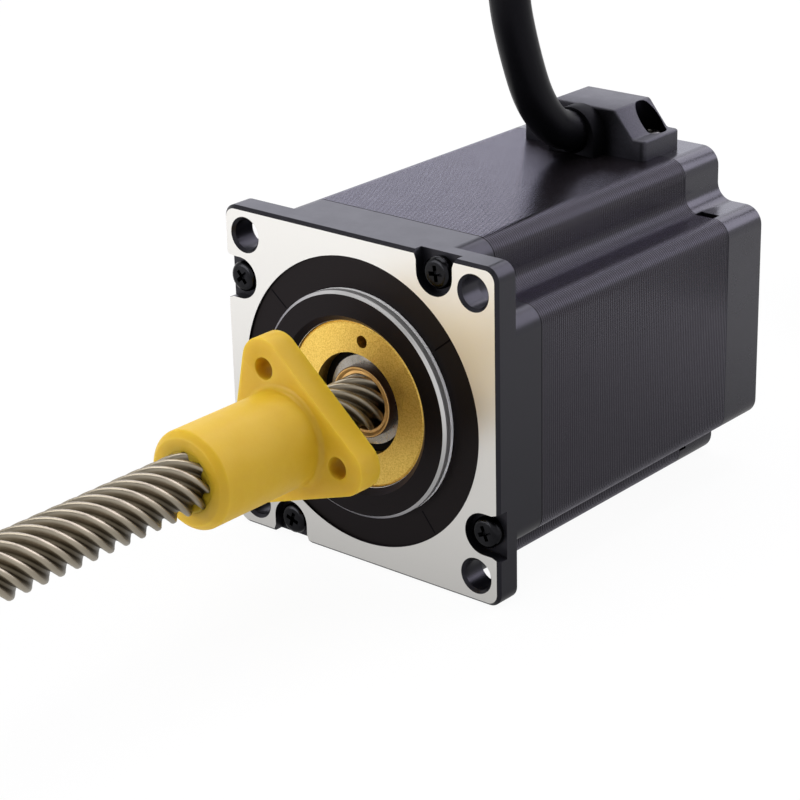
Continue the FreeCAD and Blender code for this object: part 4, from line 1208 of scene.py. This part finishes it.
@dataclass
class ScrewDrive:
    """Eight-start lead screw and the thread inside its nut."""

    crest: float = 4.7625
    root: float = 3.45
    pitch: float = 3.175
    starts: int = 8
    phase: float = 0.26
    steepness: float = 2.0
    free_end: float = -101.6
    thread_end: float = 9.0
    rear_end: float = 71.0
    journal_share: float = 0.8
    end_chamfer: float = 0.8
    points: int = 14
    step: float = 0.6
    nut_span: tuple[float, float] = (-39.05, -13.45)
    nut_outer: float = 4.86
    nut_play: float = 0.08
    nut_edge: float = 0.22
    sharp_angle: float = 40.0

    def radius(self, angle: float, y: float) -> float:
        """Radius of the thread's surface.

        Args:
            angle: Angle from +Z towards +X, in radians.
            y: Place along the screw in millimetres.

        Returns:
            Radius in millimetres.
        """
        turn = y / self.pitch + self.phase - angle / (2 * math.pi) * self.starts
        wave = math.tanh(self.steepness * math.cos(2 * math.pi * turn)) / math.tanh(self.steepness)
        return self.root + (self.crest - self.root) * (0.5 + 0.5 * wave)

    def circle(self, name: str, radius: float, y: float) -> Piece:
        """Draw a circle round the screw's axis, with points enough for the thread.

        Args:
            name: Name of the piece.
            radius: Radius in millimetres.
            y: Place along the screw in millimetres.

        Returns:
            The circle.
        """
        return Bench.start(bpy.ops.mesh.primitive_circle_add, name, (0.0, y, 0.0), ROUND_X,
                           vertices=self.starts * self.points, radius=radius * MM)

    def sweep(self, name: str, start: float, end: float, play: float) -> Piece:
        """Draw the thread's outline and sweep it along its own helix.

        Args:
            name: Name of the piece.
            start: Y of the outline.
            end: Y where the sweep ends.
            play: Distance added to the radius.

        Returns:
            Open tube with the thread's surface.
        """
        piece = self.circle(name, self.crest, start)
        for vert in piece.data.vertices:
            angle = math.atan2(vert.co.x, vert.co.z)
            reach = (self.radius(angle, start) + play) * MM
            vert.co.x, vert.co.z = reach * math.sin(angle), reach * math.cos(angle)
        lead = self.pitch * self.starts
        steps = round((end - start) / self.step)
        Bench.apply(piece, "SCREW", axis="Y", angle=2 * math.pi * (end - start) / lead,
                    screw_offset=(end - start) * MM, steps=steps, render_steps=steps, iterations=1)
        return piece

    @staticmethod
    def pick_rim(piece: Piece, y: float) -> None:
        """Select the edges that lie at one place along the screw."""
        Bench.pick(piece, "EDGE", lambda edge: all(abs(v.co.y / MM - y) < SAME_HEIGHT for v in edge.verts))

    def screw(self) -> Piece:
        """Make the lead screw with its chamfered end and plain journal.

        Returns:
            The screw.
        """
        piece = self.sweep("threaded_screw", self.free_end, self.thread_end, 0.0)
        for vert in piece.data.vertices:
            room = self.crest - self.end_chamfer + vert.co.y / MM - self.free_end
            reach = math.hypot(vert.co.x, vert.co.z) / MM
            if reach > room:
                vert.co.x *= room / reach
                vert.co.z *= room / reach
        for end in (self.free_end, self.thread_end):
            self.pick_rim(piece, end)
            bpy.ops.mesh.edge_face_add()
        Bench.pull(0.0, 0.0, 0.0)
        bpy.ops.transform.resize(value=(self.journal_share, 1.0, self.journal_share))
        Bench.pull(0.0, self.rear_end - self.thread_end, 0.0)
        return Bench.done(piece, self.sharp_angle)

    def nut_thread(self) -> Piece:
        """Make the nut's own thread as a lining of its bore.

        Returns:
            The lining.
        """
        start, end = self.nut_span
        inner = self.sweep("nut_thread", start, end, self.nut_play)
        outer = self.circle("nut_bore", self.nut_outer, start)
        Bench.pick(outer, "EDGE")
        Bench.pull_edges(0.0, end - start, 0.0)
        lining = Bench.join([inner, outer], "nut_thread")
        for place in (start, end):
            self.pick_rim(lining, place)
            bpy.ops.mesh.bridge_edge_loops()
        return Bench.done(lining, self.sharp_angle)

    def build(self) -> None:
        """Make the screw, the nut and their threads."""
        mount(self.screw(), "rotor", "lead_screw_steel", THREAD_STEEL, "lead_screw")
        mount(self.nut_thread(), "nut", "nut_yellow", NUT_PLASTIC)
        nut = Bench.softened("drive_nut", "flanged_nut", self.nut_edge)
        mount(nut, "nut", "nut_yellow", NUT_PLASTIC, "drive_nut")


@dataclass
class Fasteners:
    """Cross-recessed pan head screws: four long ties in the flange and two short ones in the clamp."""

    tie_along: float = 16.0
    tie_across: float = 25.0
    tie_seat: float = 2.0
    tie_head: float = 5.2
    tie_height: float = 1.7
    tie_shank: float = 3.0
    tie_length: float = 66.0
    tie_turns: tuple[float, ...] = (8.0, 24.0, -17.0, 40.0)
    clamp_head: float = 4.2
    clamp_height: float = 2.2
    clamp_shank: float = 2.6
    clamp_length: float = 4.7
    clamp_turns: tuple[float, ...] = (20.0, 50.0)
    head_sides: int = 40
    head_round: float = 0.5
    recess_share: float = 0.62
    recess_width: float = 0.17
    recess_taper: float = 0.6

    def screw(self, head: float, height: float, shank: float, length: float) -> Piece:
        """Model one screw at the origin, head up, its seat at zero.

        Args:
            head: Diameter of the head.
            height: Height of the head.
            shank: Diameter of the shank.
            length: Length of the shank.

        Returns:
            The screw.
        """
        piece = Bench.start(bpy.ops.mesh.primitive_cylinder_add, "screw", (0.0, 0.0, height / 2),
                            vertices=self.head_sides, radius=head / 2 * MM, depth=height * MM)
        Bench.pick(piece, "FACE", lambda face: face.normal.z > SQUARE_ON)
        Bench.bevel(self.head_round * height, segments=5)
        Bench.pick(piece, "FACE", lambda face: face.normal.z < -SQUARE_ON)
        bpy.ops.mesh.inset(thickness=(head - shank) / 2 * MM)
        Bench.pull(0.0, 0.0, -length)
        for quarter in range(2):
            bar = Bench.start(bpy.ops.mesh.primitive_cube_add, "driver_bar", (0.0, 0.0, height),
                              (0.0, 0.0, quarter * QUARTER),
                              (head * self.recess_share, head * self.recess_width, height))
            Bench.pick(bar, "FACE", lambda face: face.normal.z < -SQUARE_ON)
            bpy.ops.transform.resize(value=(self.recess_taper, self.recess_taper, 1.0))
            Bench.cut(piece, bar)
        return Bench.done(piece)

    def ties(self) -> Piece:
        """Set the four tie screws into their pockets.

        Returns:
            The joined screws.
        """
        pattern = self.screw(self.tie_head, self.tie_height, self.tie_shank, self.tie_length)
        forward = Matrix.Rotation(QUARTER, 4, "X")
        seat = Matrix.Translation((self.tie_along * MM, self.tie_seat * MM, self.tie_across * MM))
        places = [Matrix.Rotation(quarter * QUARTER, 4, "Y") @ seat @ forward
                  @ Matrix.Rotation(math.radians(turn), 4, "Z")
                  for quarter, turn in enumerate(self.tie_turns)]
        return Bench.spread(pattern, places, "cross_tie_screws")

    def clamps(self) -> Piece:
        """Set the two clamp screws into their recesses.

        Returns:
            The joined screws.
        """
        pattern = self.screw(self.clamp_head, self.clamp_height, self.clamp_shank, self.clamp_length)
        places = [Matrix.Translation((x * MM, y * MM, CLAMP_SEAT * MM))
                  @ Matrix.Rotation(math.radians(turn), 4, "Z")
                  for (x, y), turn in zip(CLAMP_SCREWS, self.clamp_turns)]
        return Bench.spread(pattern, places, "cross_clamp_screws")

    def build(self) -> None:
        """Make and place all screws."""
        mount(self.ties(), "motor", "screw_black", SCREW_OXIDE, "tie_screws")
        mount(self.clamps(), "motor", "screw_zinc", SCREW_ZINC, "clamp_screws")


@dataclass
class Clamp:
    """Moulded bridge over the cable: sloped shoulders, rounded corners, a mouth and two screw wells."""

    middle: float = 1.0
    front: float = 58.6
    rear: float = 69.3
    base: float = 28.2
    half: float = 12.75
    foot_from: float = 10.25
    top_half: float = 6.5
    foot_height: float = 3.4
    height: float = 8.0
    corner: float = 1.0
    edge: float = 0.4
    mouth: float = 3.95
    mouth_z: float = 31.8
    mouth_end: float = 67.8
    mouth_sides: int = 64
    screw_hole: float = 1.4
    well_sides: int = 48
    # Cutting solids stand out of the block by this much.
    proud: float = 1.0
    straight: float = 0.01
    off_base: float = 0.1
    sharp_angle: float = 30.0

    def block(self) -> Piece:
        """Draw the bridge's front outline, pull it back and round its corners and edges.

        Returns:
            The solid block.
        """
        right = [(self.half, 0.0), (self.half, self.foot_height), (self.foot_from, self.foot_height),
                 (self.top_half, self.height)]
        outline = right + [(-x, z) for x, z in reversed(right)]
        piece = Bench.start(bpy.ops.mesh.primitive_circle_add, "moulded_clamp", vertices=len(outline),
                            radius=MM, fill_type="NGON")
        for vert, (x, z) in zip(piece.data.vertices, outline):
            vert.co = ((self.middle + x) * MM, self.front * MM, (self.base + z) * MM)
        Bench.pick(piece, "FACE")
        Bench.pull(0.0, self.rear - self.front, 0.0)
        bpy.ops.mesh.select_all(action="SELECT")
        bpy.ops.mesh.normals_make_consistent(inside=False)
        Bench.pick(piece, "EDGE", self.upright)
        Bench.bevel(self.corner, segments=4)
        Bench.pick(piece, "EDGE", self.sharp)
        Bench.bevel(self.edge, segments=3)
        return piece

    def upright(self, edge: bmesh.types.BMEdge) -> bool:
        """Say whether an edge stands upright."""
        first, second = (vert.co for vert in edge.verts)
        return math.hypot(first.x - second.x, first.y - second.y) < self.straight * MM

    def sharp(self, edge: bmesh.types.BMEdge) -> bool:
        """Say whether an edge is sharp and above the base.

        Args:
            edge: Edge of the block.

        Returns:
            Whether it is to be rounded.
        """
        above = any(vert.co.z > (self.base + self.off_base) * MM for vert in edge.verts)
        limit = math.radians(self.sharp_angle)
        return above and len(edge.link_faces) == 2 and edge.calc_face_angle(0.0) > limit

    def cutters(self) -> list[Piece]:
        """Make the shapes of mouth, wells and screw holes.

        Returns:
            Solids to take away from the block.
        """
        start = self.front - self.proud
        depth = self.mouth_end - start
        along = (start + self.mouth_end) / 2
        rise = self.mouth_z - self.base + self.proud
        tools = [
            Bench.start(bpy.ops.mesh.primitive_cylinder_add, "mouth_arch", (self.middle, along, self.mouth_z),
                        ROUND_X, vertices=self.mouth_sides, radius=self.mouth * MM, depth=depth * MM),
            Bench.start(bpy.ops.mesh.primitive_cube_add, "mouth_gate",
                        (self.middle, along, self.mouth_z - rise / 2), sides=(2 * self.mouth, depth, rise))]
        for x, y in CLAMP_SCREWS:
            for radius, low in ((CLAMP_WELL, CLAMP_SEAT), (self.screw_hole, self.base - self.proud)):
                reach = self.base + self.height + self.proud - low
                tools.append(Bench.start(bpy.ops.mesh.primitive_cylinder_add, "well", (x, y, low + reach / 2),
                                         vertices=self.well_sides, radius=radius * MM, depth=reach * MM))
        return tools

    def build(self) -> None:
        """Make the clamp."""
        piece = self.block()
        for tool in self.cutters():
            Bench.cut(piece, tool)
        mount(Bench.done(piece), "motor", "clamp_plastic", CLAMP_NYLON, "cable_clamp")


@dataclass
class Motor:
    """The motor's castings, stack, bearings and inner parts, on their CAD shapes."""

    dressed: tuple[tuple[Finish, tuple[str, ...]], ...] = (
        (STACK_COAT, ("stator_stack",)), (REAR_COAT, ("rear_cap",)),
        (INSULATOR_NYLON, ("front_insulator", "rear_insulator")),
        (BOARD_LAMINATE, ("connection_board",)), (INNER_LEAD, ("inner_leads",)),
        (BEARING_STEEL, ("front_bearing_outer", "front_bearing_inner", "front_bearing_balls",
                         "rear_bearing_outer", "rear_bearing_inner", "rear_bearing_balls", "preload_washer")),
        (SEAL_RUBBER, ("front_bearing_shields",)), (RETAINER_COAT, ("bearing_retainer",)),
        (SPACER_ALUMINIUM, ("rotor_spacer_1",)),
        (WINDING_WIRE, tuple(f"coil_{number}" for number in range(1, 9))),
        (ROTOR_STEEL, tuple(f"rotor_cup_{number}" for number in range(1, 5))),
        (MAGNET_GREY, ("rotor_magnet_1", "rotor_magnet_2")))
    cable_axis: tuple[float, float] = (1.0, 31.8)
    bore: float = 14.0
    bore_chamfer: float = 1.05
    pilot_face: float = -1.7
    edge_play: float = 0.05
    # Points of the sleeve inside this radius and in front of this Y are the root of its mouth.
    mouth_root: tuple[float, float] = (4.9, 1.6)
    mouth_rise: float = 0.5
    grommet_edge: float = 0.25
    grommet_hole: float = 3.65
    grommet_lip: float = 0.3
    cable_grip: float = 3.45

    def cap(self) -> Piece:
        """Copy the front casting and break the front edge of its bearing bore.

        Returns:
            The casting.
        """
        def on_edge(place: Vector) -> bool:
            """Say whether a point lies on the bore's front edge."""
            reach = math.hypot(place.x, place.z) / MM
            return (abs(reach - self.bore) < self.edge_play
                    and abs(place.y / MM - self.pilot_face) < self.edge_play)

        piece = Bench.copied("front_cap", "turned_front_cap")
        count = Bench.pick(piece, "EDGE", lambda edge: all(on_edge(vert.co) for vert in edge.verts))
        log.info("%d edges round the bore", count)
        Bench.bevel(self.bore_chamfer, segments=1)
        Bench.done(piece)
        Bench.apply(piece, "WEIGHTED_NORMAL", keep_sharp=True)
        return piece

    def sleeve(self) -> Piece:
        """Copy the rotor's sleeve and make its countersunk mouth shallow.

        Returns:
            The sleeve.
        """
        reach, depth = self.mouth_root
        piece = Bench.copied("rotor_sleeve", "turned_sleeve")
        count = Bench.pick(piece, "VERT", lambda vert: vert.co.y / MM < depth
                           and math.hypot(vert.co.x, vert.co.z) / MM < reach)
        log.info("%d points round the root of the mouth", count)
        bpy.ops.transform.translate(value=(0, -self.mouth_rise * MM, 0))
        return Bench.done(piece)

    def grommet(self) -> Piece:
        """Round the grommet's edges and close its lip on the cable.

        Returns:
            The grommet.
        """
        piece = Bench.softened("cable_grommet", "moulded_grommet", self.grommet_edge)
        x, z = self.cable_axis
        Bench.pick(piece, "VERT", lambda vert: math.hypot(vert.co.x / MM - x, vert.co.z / MM - z)
                   < self.grommet_hole + self.grommet_lip)
        share = self.cable_grip / self.grommet_hole
        bpy.ops.transform.resize(value=(share, 1.0, share), center_override=(x * MM, 0, z * MM))
        return Bench.done(piece)

    def build(self) -> None:
        """Give every CAD node that stays its finish, and make the three that are changed."""
        for finish, nodes in self.dressed:
            for node in nodes:
                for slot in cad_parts[node].material_slots:
                    slot.material = finish.build()
            log.info("%s on %s", finish.title, ", ".join(nodes))
        mount(self.cap(), "motor", "cap_black", CAP_COAT, "front_cap")
        mount(self.sleeve(), "rotor", "sleeve_bronze", SLEEVE_BRONZE, "rotor_sleeve")
        mount(self.grommet(), "motor", "grommet_rubber", GROMMET_RUBBER, "cable_grommet")


def main() -> None:
    """Build the studio, then every sub-assembly in turn."""
    logging.basicConfig(level=logging.INFO, format="%(message)s")
    for part in (Studio(), Cable(), ScrewDrive(), Fasteners(), Clamp(), Motor()):
        part.build()
        log.info("built %s", type(part).__name__)


if __name__ == "__main__":
    main()
